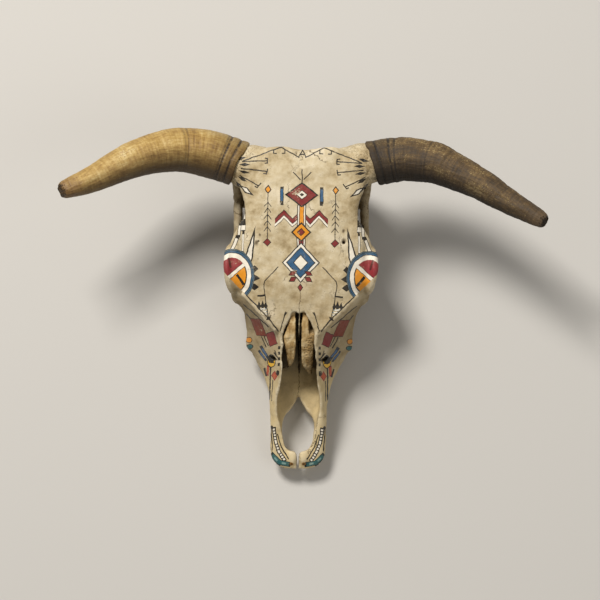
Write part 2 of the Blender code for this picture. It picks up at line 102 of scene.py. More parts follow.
def new_finish(name, *layers):
    """A material, its tree and its shader, and the mesh's layers that it reads, as sockets."""
    made = bpy.data.materials.new(name)
    made.use_nodes = True
    tree = made.node_tree
    read = [add_node(tree, "Attribute", attribute_name=layer) for layer in layers]
    read = [node.outputs["Vector" if node.attribute_name.endswith("_mm") else "Fac"] for node in read]
    return made, tree, tree.nodes["Principled BSDF"], *read


TABLE_SIZE = 7.0
bpy.ops.mesh.primitive_plane_add(size=TABLE_SIZE, location=(0, 0, -0.0002))
table = bpy.context.object
table.name = "table"
table_paint, tree, shader = new_finish("pale_table_paint")
fill(tree, shader, {"Base Color": hex_linear("C9C8C5"), "Roughness": 0.85, "Specular IOR Level": 0.25})
table.data.materials.append(table_paint)
table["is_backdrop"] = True

PIXEL = 1.48  # mm of the forehead plane in one pixel of the 600-pixel photograph
MUZZLE_PIXEL = (297.5, 470.0)  # where the muzzle tip shows
PHOTO_LEAN = math.radians(0.9)  # the skull hangs a little clockwise of upright
CAMERA_DISTANCE = 6.0

across = 300 - MUZZLE_PIXEL[0]
down = 300 - MUZZLE_PIXEL[1]
aim = Vector(
    (
        PIXEL * (across * math.cos(PHOTO_LEAN) + down * math.sin(PHOTO_LEAN)),
        PIXEL * (-down * math.cos(PHOTO_LEAN) + across * math.sin(PHOTO_LEAN)),
        -10.0,
    )
)
look = Matrix.Translation((aim + Vector((0, 0, CAMERA_DISTANCE / MM))) * MM)
camera = bpy.data.objects.new("camera", bpy.data.cameras.new("camera"))
camera.data.sensor_width = 36.0
camera.data.lens = 18.0 / (300 * PIXEL * MM / CAMERA_DISTANCE)
camera.data.clip_end = 50.0
camera.matrix_world = face_to_table @ look @ Matrix.Rotation(PHOTO_LEAN, 4, "Z")
scene.collection.objects.link(camera)
scene.camera = camera


def soft_lamp(name, place, size, power, tint):
    """A square softbox that points at the middle of the skull."""
    light = bpy.data.lights.new(name, "AREA")
    light.shape = "SQUARE"
    light.size = size
    light.energy = power
    light.color = hex_linear(tint)[:3]
    lamp = bpy.data.objects.new(name, light)
    lamp.location = place
    lamp.rotation_euler = (Vector((0, 0, 0.1)) - Vector(place)).to_track_quat("-Z", "Y").to_euler()
    scene.collection.objects.link(lamp)


soft_lamp("key_lamp", (-1.5, 2.2, 3.9), 1.2, 216, "FFF9F1")
soft_lamp("fill_lamp", (1.9, -1.0, 2.8), 1.8, 16, "FDF8F0")
world = bpy.data.worlds.new("studio")
world.use_nodes = True
background = world.node_tree.nodes["Background"]
fill(world.node_tree, background, {"Color": hex_linear("F4EFE8"), "Strength": 0.27})
scene.world = world
scene.view_settings.view_transform = "Standard"


# The skull. One dry bone, grown together from many: brain case, face and upper jaw. The nasal
# bones have dropped out, so the nose is an open slot with broken edges, and the front jaw bones
# end in two thin tips. The bone is bleached, cracked and pitted, and painted by hand.
def between(p0, p1, p2, p3, t):
    """Catmull-Rom value between p1 and p2."""
    return 0.5 * (
        2 * p1
        + (p2 - p0) * t
        + (2 * p0 - 5 * p1 + 4 * p2 - p3) * t * t
        + (3 * p1 - p0 - 3 * p2 + p3) * t * t * t
    )


def smooth_line(points, steps):
    """An open smooth line through the points, with a number of steps between each two."""
    rows = [Vector(p) for p in points]
    rows = [2 * rows[0] - rows[1]] + rows + [2 * rows[-1] - rows[-2]]
    line = []
    for i in range(1, len(rows) - 2):
        line += [between(*rows[i - 1 : i + 3], step / steps) for step in range(steps)]
    return line + [rows[-2]]


def smooth_ring(points, steps):
    """A closed smooth line through the points."""
    rows = [Vector(p) for p in points]
    ring = []
    for i in range(len(rows)):
        four = [rows[(i + k - 1) % len(rows)] for k in range(4)]
        ring += [between(*four, step / steps) for step in range(steps)]
    return ring


def skin(bm, rings):
    """Closes a row of rings, each with the same number of points, into one solid."""
    made = [[bm.verts.new(p) for p in ring] for ring in rings]
    count = len(made[0])
    for low, high in zip(made, made[1:]):
        for i in range(count):
            j = (i + 1) % count
            bm.faces.new((low[i], low[j], high[j], high[i]))
    bm.faces.new(made[0])
    bm.faces.new(made[-1])


def hull(bm, sections, steps=5):
    """A left-right symmetric solid through right-hand half sections, given as (y, [(x, z), ...])."""
    stations = [[part for x, z in half for part in (x, z)] + [y] for y, half in sections]
    rings = []
    for row in smooth_line(stations, steps):
        y = row[len(row) - 1]
        half = [(row[k], row[k + 1]) for k in range(0, len(row) - 1, 2)]
        right = [(x, y, z) for x, z in half]
        left = [(-x, y, z) for x, z in reversed(half[1:-1])]
        rings.append(smooth_ring(right + left, steps))
    skin(bm, rings)


def bar(bm, points, radii, flat=(0.0, 0.0, 1.0), sides=20, steps=6, side=1):
    """A rounded bar along a smooth line. radii are (across, along flat) at each point, and side -1
    draws it on the left."""
    line = smooth_line([(side * x, y, z) for x, y, z in points], steps)
    sizes = smooth_line([(a, b, 0.0) for a, b in radii], steps)
    rings = []
    for i, centre in enumerate(line):
        ahead = line[min(i + 1, len(line) - 1)] - line[max(i - 1, 0)]
        ahead.normalize()
        side_way = ahead.cross(Vector(flat)).normalized()
        up = side_way.cross(ahead).normalized()
        turns = [2 * math.pi * k / sides for k in range(sides)]
        rings.append(
            [centre + side_way * sizes[i].x * math.cos(t) + up * sizes[i].y * math.sin(t) for t in turns]
        )
    skin(bm, rings)


def blob(bm, centre, radii, turn=(0.0, 0.0, 0.0)):
    """A stretched ball, turned by degrees about X, Y and Z."""
    spin = Matrix.Identity(4)
    for axis, degrees in zip("XYZ", turn):
        spin = Matrix.Rotation(math.radians(degrees), 4, axis) @ spin
    place = Matrix.Translation(centre) @ spin @ Matrix.Diagonal((*radii, 1.0))
    bmesh.ops.create_uvsphere(bm, u_segments=36, v_segments=20, radius=1.0, matrix=place)


def slab(bm, outline, bottom, top):
    """An outline in X and Y, pulled from one height to another."""
    skin(bm, [[(x, y, z) for x, y in outline] for z in (bottom, top)])


def bite_z(y):
    """Height of the table in the face frame, at a distance y from the muzzle tip."""
    return -(BITE_DEPTH + math.tan(REST_TILT) * y)


def to_object(bm, name):
    """Turns a bmesh drawn in millimetres of the face frame into an object."""
    bmesh.ops.recalc_face_normals(bm, faces=bm.faces)
    mesh = bpy.data.meshes.new(name)
    bm.to_mesh(mesh)
    bm.free()
    made = bpy.data.objects.new(name, mesh)
    scene.collection.objects.link(made)
    return made


def settle(made, keep=()):
    """Applies an object's modifiers and takes its cutters away."""
    graph = bpy.context.evaluated_depsgraph_get()
    mesh = bpy.data.meshes.new_from_object(made.evaluated_get(graph))
    made.modifiers.clear()
    old = made.data
    made.data = mesh
    bpy.data.meshes.remove(old)
    for cutter in keep:
        bpy.data.objects.remove(cutter, do_unlink=True)


def points_of(mesh):
    """A mesh's points and its outward directions, as rows."""
    found = []
    for what in ("co", "normal"):
        flat = np.empty(len(mesh.vertices) * 3, np.float32)
        mesh.vertices.foreach_get(what, flat)
        found.append(flat.reshape(-1, 3).astype(float))
    return found


def put_points(mesh, points):
    """Moves a mesh's points."""
    mesh.vertices.foreach_set("co", points.astype(np.float32).ravel())
    mesh.update()


def keep_layer(mesh, name, values):
    """Keeps a number or a place for each point, as a layer that the finish reads."""
    values = np.array(values, np.float32)
    wide = values.ndim == 2
    layer = mesh.attributes.new(name, "FLOAT_VECTOR" if wide else "FLOAT", "POINT")
    layer.data.foreach_set("vector" if wide else "value", values.ravel())


def lay_on_table(made):
    """Keeps the face frame's millimetres in the mesh as face_mm, then puts the mesh on the table."""
    mesh = made.data
    keep_layer(mesh, "face_mm", points_of(mesh)[0])
    mesh.transform(face_to_table @ Matrix.Scale(MM, 4))
    put_points(mesh, np.clip(points_of(mesh)[0], cad_box[0], cad_box[1]))
    mesh.shade_smooth()


# The face: roof middle, roof, crest, cheek, outer gum, inner gum, palate middle
FACE = [
    (-1, [(0, -83), (7, -83), (13, -83), (17, -87), (13, -91), (7, -91), (0, -91)]),
    (5, [(0, -81), (15, -81), (25, -81), (31, -86), (25, -92), (14, -93), (0, -92)]),
    (16, [(0, -79), (18, -79), (32, -79), (39, -86), (33, -94), (20, -95), (0, -93)]),
    (35, [(0, -77), (18, -77), (34, -76), (41, -85), (36, -96), (22, -97), (0, -94)]),
    (60, [(0, -72), (20, -72), (35, -70), (41.5, -82), (37, -98), (24, -99), (0, -95)]),
    (85, [(0, -66), (20, -65), (35, -62), (42.5, -80), (39, -101), (26, -102), (0, -97)]),
    (108, [(0, -56), (18, -55), (34, -52), (44, -78), (42, -106), (28, -107), (0, -101)]),
    (125, [(0, -48), (18, -46), (31, -44), (47.5, -80), (45, -112), (30, -112), (0, -104)]),
    (145, [(0, -38), (18, -36), (29, -36), (56, -84), (52, -120), (33, -118), (0, -107)]),
    (165, [(0, -31), (18, -29), (28.5, -30), (66, -87), (57, -125), (36, -123), (0, -110)]),
    (188, [(0, -24), (20, -22), (29.5, -24), (77, -88), (61, -129), (39, -127), (0, -113)]),
    (206, [(0, -18), (20, -16), (34, -19), (80, -84), (64, -131), (41, -129), (0, -115)]),
    (230, [(0, -10), (34, -9), (54, -15), (84, -74), (66, -133), (42, -131), (0, -117)]),
    (250, [(0, -5), (48, -5), (72, -13), (95, -66), (67, -134), (42, -132), (0, -118)]),
    (268, [(0, -2), (54, -2), (84, -14), (100, -62), (64, -132), (42, -130), (0, -118)]),
    (284, [(0, 0), (58, 0), (90, -14), (94, -58), (56, -122), (36, -120), (0, -114)]),
    (296, [(0, 0), (56, -3), (80, -20), (74, -56), (44, -106), (26, -108), (0, -110)]),
]
# The cranium: roof middle, roof, temporal line, temple hollow, brain wall, lower wall, base
CRANIUM = [
    (262, [(0, -3), (50, -3), (80, -14), (62, -45), (44, -85), (26, -112), (0, -116)]),
    (300, [(0, 1), (58, 0), (92, -12), (52, -42), (44, -85), (26, -118), (0, -124)]),
    (338, [(0, 3), (60, 1), (93, -11), (55, -42), (50, -85), (28, -126), (0, -132)]),
    (360, [(0, 4), (59, 2), (88, -10), (57, -42), (54, -88), (32, -131), (0, -137)]),
    (384, [(0, 4), (58, 3), (84, -9), (59, -42), (60, -92), (35, -135), (0, -141)]),
    (404, [(0, 4), (60, 3), (88, -10), (64, -48), (66, -96), (38, -137), (0, -143)]),
    (424, [(0, 3), (64, 1), (94, -13), (76, -54), (74, -98), (42, -138), (0, -144)]),
    (446, [(0, 1), (66, -2), (95, -17), (84, -54), (80, -96), (46, -134), (0, -140)]),
    (462, [(0, -3), (66, -6), (88, -20), (82, -54), (76, -88), (44, -116), (0, -122)]),
    (470, [(0, -9), (60, -12), (76, -24), (70, -52), (62, -76), (34, -92), (0, -96)]),
]
# The hollow of the nose: roof middle, roof, upper wall, side wall, floor edge, floor middle
NOSE_HOLLOW = [
    (36, [(0, -40), (19, -42), (20, -70), (19, -74), (14, -79), (0, -80)]),
    (60, [(0, -36), (25, -38), (26, -66), (26, -74), (20, -86), (0, -88)]),
    (82, [(0, -30), (31, -32), (31.5, -62), (31, -74), (26, -89), (0, -92)]),
    (105, [(0, -20), (32, -22), (32, -58), (34, -76), (29, -94), (0, -96)]),
    (122, [(0, -12), (28.5, -14), (28.5, -50), (36, -78), (31, -98), (0, -99)]),
    (142, [(0, -10), (25, -12), (26, -42), (42, -78), (33, -102), (0, -102)]),
    (165, [(0, -8), (24, -10), (25, -36), (50, -78), (36, -105), (0, -104)]),
    (188, [(0, -6), (20, -10), (24, -30), (56, -80), (40, -108), (0, -107)]),
    (206, [(0, -24), (14, -24), (26, -34), (58, -78), (40, -110), (0, -109)]),
    (232, [(0, -22), (14, -22), (30, -32), (56, -72), (40, -110), (0, -110)]),
    (262, [(0, -26), (14, -26), (28, -38), (46, -66), (32, -102), (0, -106)]),
    (290, [(0, -42), (10, -43), (18, -50), (26, -66), (20, -90), (0, -95)]),
]
# Outlines seen from the forehead side, as (x, y). The nose's edge is broken and not the same on
# both sides.
NOSE_MOUTH = [
    (-25.5, 148), (-26, 178), (-24.5, 187), (-27, 197), (-21, 213), (-16, 226), (-12, 233.5),
    (-5, 235), (-1, 228), (3, 234.5), (8.5, 233), (11.5, 223), (17, 217), (24, 201), (21, 191),
    (23, 179), (25, 148),
]
MUZZLE_GAP = [
    (0, 107), (4, 99), (11, 89), (20, 79), (25, 67), (24.5, 52), (22, 38), (17.5, 28), (13, 25),
    (5, 24), (2.2, 20), (1.8, 5), (1.8, -12),
]
ORBIT_CENTRE = (101, 297, -45)  # middle of the right eye socket's rim
ORBIT_RADIUS = 32
POLL_EDGE = 469  # middle of the thick poll bar, from the muzzle tip

# Horn axes: (x, y, z, radius), from the rim at the skull to the blunt tip
LEFT_HORN = [
    (-96, 453, -34, 35.5),
    (-133, 465, -33, 36.5),
    (-168, 471, -28, 34.5),
    (-197, 470, -20, 33),
    (-231, 462, -8, 29.5),
    (-269, 446, 8, 25.5),
    (-312, 423, 27, 20),
    (-354, 406, 44, 14.5),
]
RIGHT_HORN = [
    (105, 456, -34, 34.5),
    (131, 461, -33, 34.5),
    (154, 463, -29, 33.5),
    (176, 461, -23, 32.5),
    (199, 457, -16, 31),
    (222, 447, -8, 28.5),
    (251, 433, 4, 25.5),
    (279, 417, 17, 22.5),
    (308, 399, 31, 19),
    (337, 383, 44, 15.5),
    (357, 371, 53, 13),
]
CORE_LENGTH = 44.0  # how far the bone core reaches into the sheath
CORE_SLACK = 2.0
SHEATH_WALL = 4.5


def horn_axis(side):
    """The axis of the left horn, -1, or the right one, 1."""
    return LEFT_HORN if side < 0 else RIGHT_HORN


def rim_frame(side):
    """Centre of the sheath's rim, the way the horn leaves it, and the rim's radius."""
    rows = horn_axis(side)
    start = Vector(rows[0][:3])
    return start, (Vector(rows[1][:3]) - start).normalized(), rows[0][3]


def orbit_bones(bm, side):
    """Rim, roof and cheek strut of one eye socket, and the arch that runs back from it."""
    cx, cy, cz = ORBIT_CENTRE
    rim = []
    for k in range(17):
        angle = 2 * math.pi * k / 16
        along, up = math.cos(angle), math.sin(angle)
        out = cx + (8 * up if up > 0 else -2 * up) + 2 * along - 1.5 * along * along
        rim.append((side * out, cy + ORBIT_RADIUS * along, cz + ORBIT_RADIUS * up))
    bar(bm, rim, [(7, 5.5)] * len(rim), flat=(1.0, 0.0, 0.0), steps=4)
    blob(bm, (side * 76, 300, -24), (35, 36, 20), turn=(0, side * 16, 0))
    blob(bm, (side * 90, 262, -58), (14, 18, 22))
    brow = [(80, 366, -18), (90, 348, -20), (98, 330, -24), (104, 314, -24)]
    bar(bm, brow, [(8, 7), (8, 8), (8, 9), (8, 8)], side=side)
    strut = [(96, 330, -26), (99, 331, -46), (98, 330, -70)]
    bar(bm, strut, [(8, 8), (7, 8), (7, 12)], flat=(0.0, 1.0, 0.0), side=side)
    arch = [(96, 326, -68), (95, 345, -73), (94.5, 372, -76), (94, 394, -78), (88, 410, -84)]
    bar(bm, arch, [(6.5, 12), (6.5, 10), (6.5, 9), (7, 10), (12, 12)], side=side)
    rise = [(92, 400, -80), (95, 420, -66), (92, 438, -50)]
    bar(bm, rise, [(8, 9), (9, 10), (12, 12)], side=side)


def face_ridges(bm, side):
    """The thick edge from the eye socket to the nose, the cheek's bump and the muzzle's nubs."""
    ridge = [(84, 262, -14), (66, 243, -10), (48, 224, -10), (34, 208, -16)]
    bar(bm, ridge, [(5, 4)] * 4, side=side)
    blob(bm, (side * 73, 188, -95), (7, 13, 12))
    blob(bm, (side * 9, 17, -80), (7, 12, 6))


def rear_bones(bm, side):
    """Jaw hinge seat, temple crest, ear bulb, neck knuckle, ear-side prong and palate wing."""
    blob(bm, (side * 76, 404, -93), (27, 17, 11))
    crest = [(84, 446, -40), (90, 448, -72), (84, 446, -102), (62, 446, -128)]
    bar(bm, crest, [(9, 9)] * 4, flat=(0.0, 1.0, 0.0), side=side)
    blob(bm, (side * 36, 412, -150), (11, 17, 16))
    blob(bm, (side * 66, 426, -112), (12, 12, 10))
    blob(bm, (side * 26, 450, -138), (14, 21, 18), turn=(24, 0, side * -15))
    prong = [(56, 436, -112), (53, 438, -148), (48, 437, -178), (45, 435, -200)]
    bar(bm, prong, [(14, 13), (13, 11), (10, 9), (6.5, 7)], flat=(0.0, 1.0, 0.0), side=side)
    wing = [(17, 272, -108), (18, 300, -124), (19, 326, -142), (19, 338, -156)]
    bar(bm, wing, [(4, 16), (4, 18), (4, 15), (4, 6)], side=side)


def horn_core(bm, side):
    """The bone neck under the horn and the short core that the sheath slides over."""
    centre, out, radius = rim_frame(side)
    core = radius - SHEATH_WALL - CORE_SLACK
    root = Vector((side * 60, 444, -34))
    points = [root, centre - out * 14, centre - out * 3, centre + out * 20, centre + out * CORE_LENGTH]
    sizes = [34, radius - 2, core + 1, core - 1, core - 8]
    bar(bm, points, [(r, r) for r in sizes], sides=32)


def skull_bones():
    """Everything that stands out, as overlapping solids that grow together."""
    bm = bmesh.new()
    hull(bm, FACE)
    hull(bm, CRANIUM)
    poll = [(-78, -10, -20), (-36, 0, -14), (4, -4, -14), (44, 0, -14), (80, -10, -20)]
    poll = [(x, POLL_EDGE + back, z) for x, back, z in poll]
    bar(bm, poll, [(10, 11), (9.5, 11), (9, 10), (9.5, 11), (10, 11)])
    blob(bm, (0, POLL_EDGE - 6, -72), (14, 12, 34))
    base = [(0, 290, -122), (0, 370, -138), (0, 424, -144), (0, 446, -144)]
    bar(bm, base, [(14, 9), (19, 10), (24, 12), (22, 11)])
    for side in (-1, 1):
        orbit_bones(bm, side)
        face_ridges(bm, side)
        rear_bones(bm, side)
        horn_core(bm, side)
    return bm


def broken_edge(outline, step, jitter, start):
    """An outline with its straight runs broken up into small uneven steps."""
    rows = [Vector((x, y, 0.0)) for x, y in outline]
    broken = []
    for a, b in zip(rows, rows[1:] + rows[:1]):
        count = max(1, round((b - a).length / step))
        for k in range(count):
            point = a.lerp(b, k / count)
            shift = noise.noise_vector((point + Vector((start, 0, 0))) / 7) * jitter
            broken.append((point.x + shift.x, point.y + shift.y))
    return broken


def eye_socket(bm, side):
    """One eye socket, open sideways and, behind the eyeball, towards the temple."""
    cx, cy, cz = ORBIT_CENTRE
    line = [(cx + 40, cy - 4, cz), (cx, cy, cz), (cx - 22, cy + 4, cz - 2), (cx - 44, cy + 10, cz - 6)]
    bar(bm, line, [(29, 29), (26.5, 26.5), (25, 24), (10, 12)], sides=32, side=side)
    blob(bm, (side * 76, 336, -56), (15, 34, 26))


def skull_hollows():
    """Everything that is cut away: nose, muzzle gap, eye sockets, throat and spinal hole."""
    bm = bmesh.new()
    hull(bm, NOSE_HOLLOW)
    slab(bm, broken_edge(NOSE_MOUTH, 3.0, 2.2, 0.0), -60, 20)
    gap = MUZZLE_GAP + [(-x, y) for x, y in reversed(MUZZLE_GAP[1:])]
    slab(bm, broken_edge(gap, 4.0, 0.8, 40.0), -140, -40)
    throat = [(0, 262, -96), (0, 292, -112), (0, 322, -134), (0, 352, -160)]
    bar(bm, throat, [(14, 13), (14, 15), (14, 12), (13, 10)])
    blob(bm, (0, 468, -120), (17, 36, 15))
    for side in (-1, 1):
        eye_socket(bm, side)
        bar(bm, [(42, 172, -58), (36, 163, -42), (34, 156, -30)], [(4.5, 3.5)] * 3, side=side)
        for y, size in ((338, 2.6), (325, 1.4), (351, 1.4)):
            hole = [(63, y, -12), (63, y - 1, 0), (64, y - 3, 12)]
            bar(bm, hole, [(size, size)] * 3, side=side)
    return bm


def cut_away(target, cutter):
    """Takes the cutter's shape away."""
    step = target.modifiers.new("cut", "BOOLEAN")
    step.operation = "DIFFERENCE"
    step.solver = "EXACT"
    step.object = cutter


def grow_together(target, grain):
    """Grows overlapping solids into one skin at a grain in millimetres."""
    step = target.modifiers.new("grow", "REMESH")
    step.mode = "VOXEL"
    step.voxel_size = grain


def neighbours(mesh):
    """A function that gives the mean of a row of values over each point's neighbours."""
    ends = np.empty(len(mesh.edges) * 2, np.int32)
    mesh.edges.foreach_get("vertices", ends)
    a, b = ends[0::2], ends[1::2]
    total = len(mesh.vertices)
    count = np.maximum(np.bincount(ends, minlength=total), 1)

    def mean(values):
        rows = values.reshape(total, -1)
        columns = [
            np.bincount(a, rows[b, k], total) + np.bincount(b, rows[a, k], total)
            for k in range(rows.shape[1])
        ]
        return (np.stack(columns, 1) / count[:, None]).reshape(values.shape)

    return mean


FILLET_ROUNDS = 36  # how far the hollow creases between grown-together bones fill up


def fill_creases(mesh, rounds):
    """Rounds out the hollow creases and leaves the ridges as they are."""
    mean = neighbours(mesh)
    for k in range(rounds):
        points, out = points_of(mesh)
        pull = mean(points) - points
        rise = np.clip((pull * out).sum(1), 0, None)
        put_points(mesh, points + out * rise[:, None] * 0.9)


def rough_up(mesh, grains, seed):
    """Lifts and sinks the surface by noise. grains are (size, height) in millimetres."""
    points, out = points_of(mesh)
    lift = np.zeros(len(points))
    for size, height in grains:
        shift = Vector((seed, seed * 0.7, seed * 1.3))
        lift += height * np.array([noise.fractal(Vector(p) / size + shift, 0.9, 2.1, 3) for p in points])
    put_points(mesh, points + out * lift[:, None])


def pit(mesh, centre, reach, size, depth):
    """Eats small pits into the bone within reach of a place."""
    points, out = points_of(mesh)
    near = 1 - np.linalg.norm((points - np.array(centre)) / np.array(reach), axis=1)
    lift = np.zeros(len(points))
    for i in np.nonzero(near > 0)[0]:
        cell = noise.voronoi(Vector(points[i]) / size)[0]
        hole = min(max((0.42 - cell[0]) / 0.3, 0.0), 1.0)
        lift[i] = -depth * hole * min(near[i] * 3, 1.0)
    put_points(mesh, points + out * lift[:, None])


def keep_facets(made, most):
    """Thins the mesh to a number of triangles."""
    triangles = sum(len(p.vertices) - 2 for p in made.data.polygons)
    if triangles > most:
        step = made.modifiers.new("thin", "DECIMATE")
        step.ratio = most / triangles
        settle(made)


def note_hollows(mesh, reach, rays=12):
    """Keeps, as recess, how closed in each point is, as edge, how sharply it stands out, and as
    front, whether it can be seen from the forehead side."""
    tree = BVHTree.FromPolygons(
        [v.co for v in mesh.vertices], [p.vertices for p in mesh.polygons], all_triangles=False
    )
    points, out = points_of(mesh)
    golden = math.pi * (3 - math.sqrt(5))
    fan = []
    for k in range(rays):
        height = math.sqrt((k + 0.6) / rays)
        flat = math.sqrt(max(1 - height * height, 0))
        fan.append((flat * math.cos(golden * k), flat * math.sin(golden * k), height))
    closed = np.zeros(len(points))
    for i, (point, way) in enumerate(zip(points, out)):
        way = Vector(way).normalized()
        frame_1 = way.orthogonal().normalized()
        frame_2 = way.cross(frame_1)
        start = Vector(point) + way * 0.6
        for a, b, c in fan:
            hit = tree.ray_cast(start, frame_1 * a + frame_2 * b + way * c, reach)
            if hit[0] is not None:
                closed[i] += 1 - 0.6 * hit[3] / reach
    closed /= rays
    up = Vector((0.0, 0.0, 1.0))
    front = []
    for point, way in zip(points, out):
        start = Vector(point) + Vector(way) * 0.6
        front.append(float(way[2] > 0.1 and tree.ray_cast(start, up)[0] is None))
    mean = neighbours(mesh)
    for _ in range(2):
        closed = 0.5 * closed + 0.5 * mean(closed)
    stand = -((mean(points) - points) * out).sum(1)
    for _ in range(3):
        stand = 0.4 * stand + 0.6 * mean(stand)
    for name, values in (("recess", closed), ("edge", stand), ("front", front)):
        keep_layer(mesh, name, values)


FORM_GRAIN, HOLLOW_GRAIN, SKIN_GRAIN = 2.2, 1.7, 1.5  # mm of detail in the forms, hollows and skin
SKULL_TRIANGLES = 185000
CLOSE_BY = 55  # mm within which other bone closes a point in
skull = to_object(skull_bones(), "painted_skull")
grow_together(skull, FORM_GRAIN)
cavity = to_object(skull_hollows(), "hollows")
grow_together(cavity, HOLLOW_GRAIN)
cut_away(skull, cavity)
grow_together(skull, SKIN_GRAIN)
settle(skull, [cavity])
fill_creases(skull.data, FILLET_ROUNDS)
rough_up(skull.data, [(55, 1.5), (17, 0.7), (5, 0.28)], 3.0)
for side in (-1, 1):
    centre, out, radius = rim_frame(side)
    pit(skull.data, centre - out * 6, (26, 46, 46), 5.0, 1.3)
    pit(skull.data, (side * 34, 210, -20), (16, 26, 16), 3.6, 0.9)
pit(skull.data, (0, 470, -30), (90, 16, 30), 4.0, 0.7)
keep_facets(skull, SKULL_TRIANGLES)
note_hollows(skull.data, CLOSE_BY)
lay_on_table(skull)

# What the bone looks like: dry, matt and chalky, greyed cream on the forehead and browner down the face,
# darker in every hollow with dirt and painted shade, and near black with painted shade deep inside, with
# open pores and hairline cracks.
bone_finish, tree, shader, face_mm, recess, edge = new_finish("weathered_bone", "face_mm", "recess", "edge")
CLOUD_SIZE = 60.0  # mm, large stains
MOTTLE_SIZE = 13.0  # mm, handling marks
PORE_SPACE = 2.4  # mm, real pores are 0.3 to 1 mm apart, drawn coarser so that they show
GRAIN_SIZE = 2.2  # mm, the chalky surface itself
CRACK_SPACE = 34.0  # mm between hairline cracks, which run lengthwise


def colour_stops(node, stops, sharp=False):
    """Fills a ramp from (place, hex) pairs. None instead of a hex leaves the ground bare."""
    node.color_ramp.interpolation = "CONSTANT" if sharp else "LINEAR"
    points = node.color_ramp.elements
    while len(points) < len(stops):
        points.new(1.0)
    for point, (place, code) in zip(points, stops):
        point.position = place
        point.color = hex_linear(code) if code else (0.0, 0.0, 0.0, 0.0)


def stain(tree, ground, code, measure, low, high, most, ease="LINEAR"):
    """Stains the ground, from not at all where a measure is low to the most where it is high."""
    share = add_node(tree, "MapRange", [measure, low, high, 0.0, most], interpolation_type=ease)
    return add_node(tree, "Mix", {0: share, 6: ground, 7: hex_linear(code)}, data_type="RGBA")


cloud, mottle, grain = [
    add_node(tree, "TexNoise", {"Vector": face_mm, "Scale": 1 / size, "Detail": detail, "Roughness": rough})
    for size, detail, rough in ((CLOUD_SIZE, 4.0, 0.6), (MOTTLE_SIZE, 4.0, 0.65), (GRAIN_SIZE, 2.0, 0.7))
]
blend = add_node(tree, "Math", [cloud, 0.58], operation="MULTIPLY")
blend = add_node(tree, "Math", [mottle, 0.42, blend], operation="MULTIPLY_ADD")
bone = add_node(tree, "ValToRGB", [blend])
colour_stops(bone, [(0.38, "9E8B67"), (0.46, "BDAC89"), (0.53, "CDBF9F"), (0.61, "DDD1B6")])
sideways, along, out = add_node(tree, "SeparateXYZ", [face_mm]).outputs
bone = stain(tree, bone, "A08D69", along, 330.0, 235.0, 0.25, "SMOOTHSTEP")
for code, fade, limits in (
    ("7C6A48", [out, -16.0, -58.0, 0.0, 0.78], [along, 110.0, 240.0, 0.12]),  # sides of the face
    ("D0BC8E", [along, 175.0, 120.0, 0.0, 0.9], [out, -30.0, -62.0]),  # palate
):
    share = add_node(tree, "MapRange", fade, interpolation_type="SMOOTHSTEP")
    limit = add_node(tree, "MapRange", limits)
    share = add_node(tree, "Math", [share, limit], operation="MULTIPLY")
    bone = add_node(tree, "Mix", {0: share, 6: bone, 7: hex_linear(code)}, data_type="RGBA")
# Dirt and painted shade: the bone darkens where other bone closes it in, as the recess measure gives it,
# broken up by the mottle.
grime_and_shade = add_node(tree, "Math", [mottle, 0.35, -0.17], operation="MULTIPLY_ADD")
grime_and_shade = add_node(tree, "Math", [recess, grime_and_shade], operation="ADD")
bone = stain(tree, bone, "4E3F29", grime_and_shade, 0.08, 0.56, 0.88, "SMOOTHSTEP")
# Painted shade: near black deep in the most closed-in hollows.
bone = stain(tree, bone, "1B130A", recess, 0.62, 0.92, 0.9)
bone = stain(tree, bone, "E6DCC2", edge, 0.06, 0.28, 0.6)
pores = add_node(tree, "TexVoronoi", {"Vector": face_mm, "Scale": 1 / PORE_SPACE, "Randomness": 1.0})
pore_patch = add_node(tree, "MapRange", [mottle, 0.5, 0.72, 0.02, 0.34])
beside = add_node(tree, "Math", [sideways], operation="ABSOLUTE")
beside = add_node(tree, "Math", [along, 0.5, beside], operation="MULTIPLY_ADD")
# The bone is spongy where the horns leave it.
horn_root = add_node(tree, "MapRange", [beside, 292.0, 312.0, 0.0, 0.3])
pore_patch = add_node(tree, "Math", [pore_patch, horn_root], operation="ADD")
pore = add_node(tree, "Math", [pores.outputs["Distance"], pore_patch], operation="LESS_THAN")
share = add_node(tree, "Math", [pore, 0.55], operation="MULTIPLY")
bone = add_node(tree, "Mix", {0: share, 6: bone, 7: hex_linear("6B5736")}, data_type="RGBA")
bend = add_node(tree, "VectorMath", {0: mottle.outputs["Color"], "Scale": 26.0}, operation="SCALE")
crack_place = add_node(tree, "VectorMath", [face_mm, bend], operation="ADD")
crack_scale = (1 / CRACK_SPACE, 0.34 / CRACK_SPACE, 1 / CRACK_SPACE)
crack_place = add_node(tree, "Mapping", {"Vector": crack_place, "Scale": crack_scale})
cracks = add_node(tree, "TexVoronoi", {"Vector": crack_place, "Scale": 1.0}, feature="DISTANCE_TO_EDGE")
crack = add_node(tree, "MapRange", [cracks, 0.016, 0.004])
crack_patch = add_node(tree, "MapRange", [cloud, 0.5, 0.6, 0.0, 0.92])
crack = add_node(tree, "Math", [crack, crack_patch], operation="MULTIPLY")
seam = add_node(tree, "Math", [mottle, 9.0, -4.5], operation="MULTIPLY_ADD")
seam = add_node(tree, "Math", [sideways, seam], operation="ADD")
seam = add_node(tree, "Math", [seam, 0.0, 0.45], operation="COMPARE")
seam_end = add_node(tree, "MapRange", [along, 282.0, 262.0, 0.0, 0.8])
seam = add_node(tree, "Math", [seam, seam_end], operation="MULTIPLY")
crack = add_node(tree, "Math", [crack, seam], operation="MAXIMUM")
bone = add_node(tree, "Mix", {0: crack, 6: bone, 7: hex_linear("5A4930")}, data_type="RGBA")
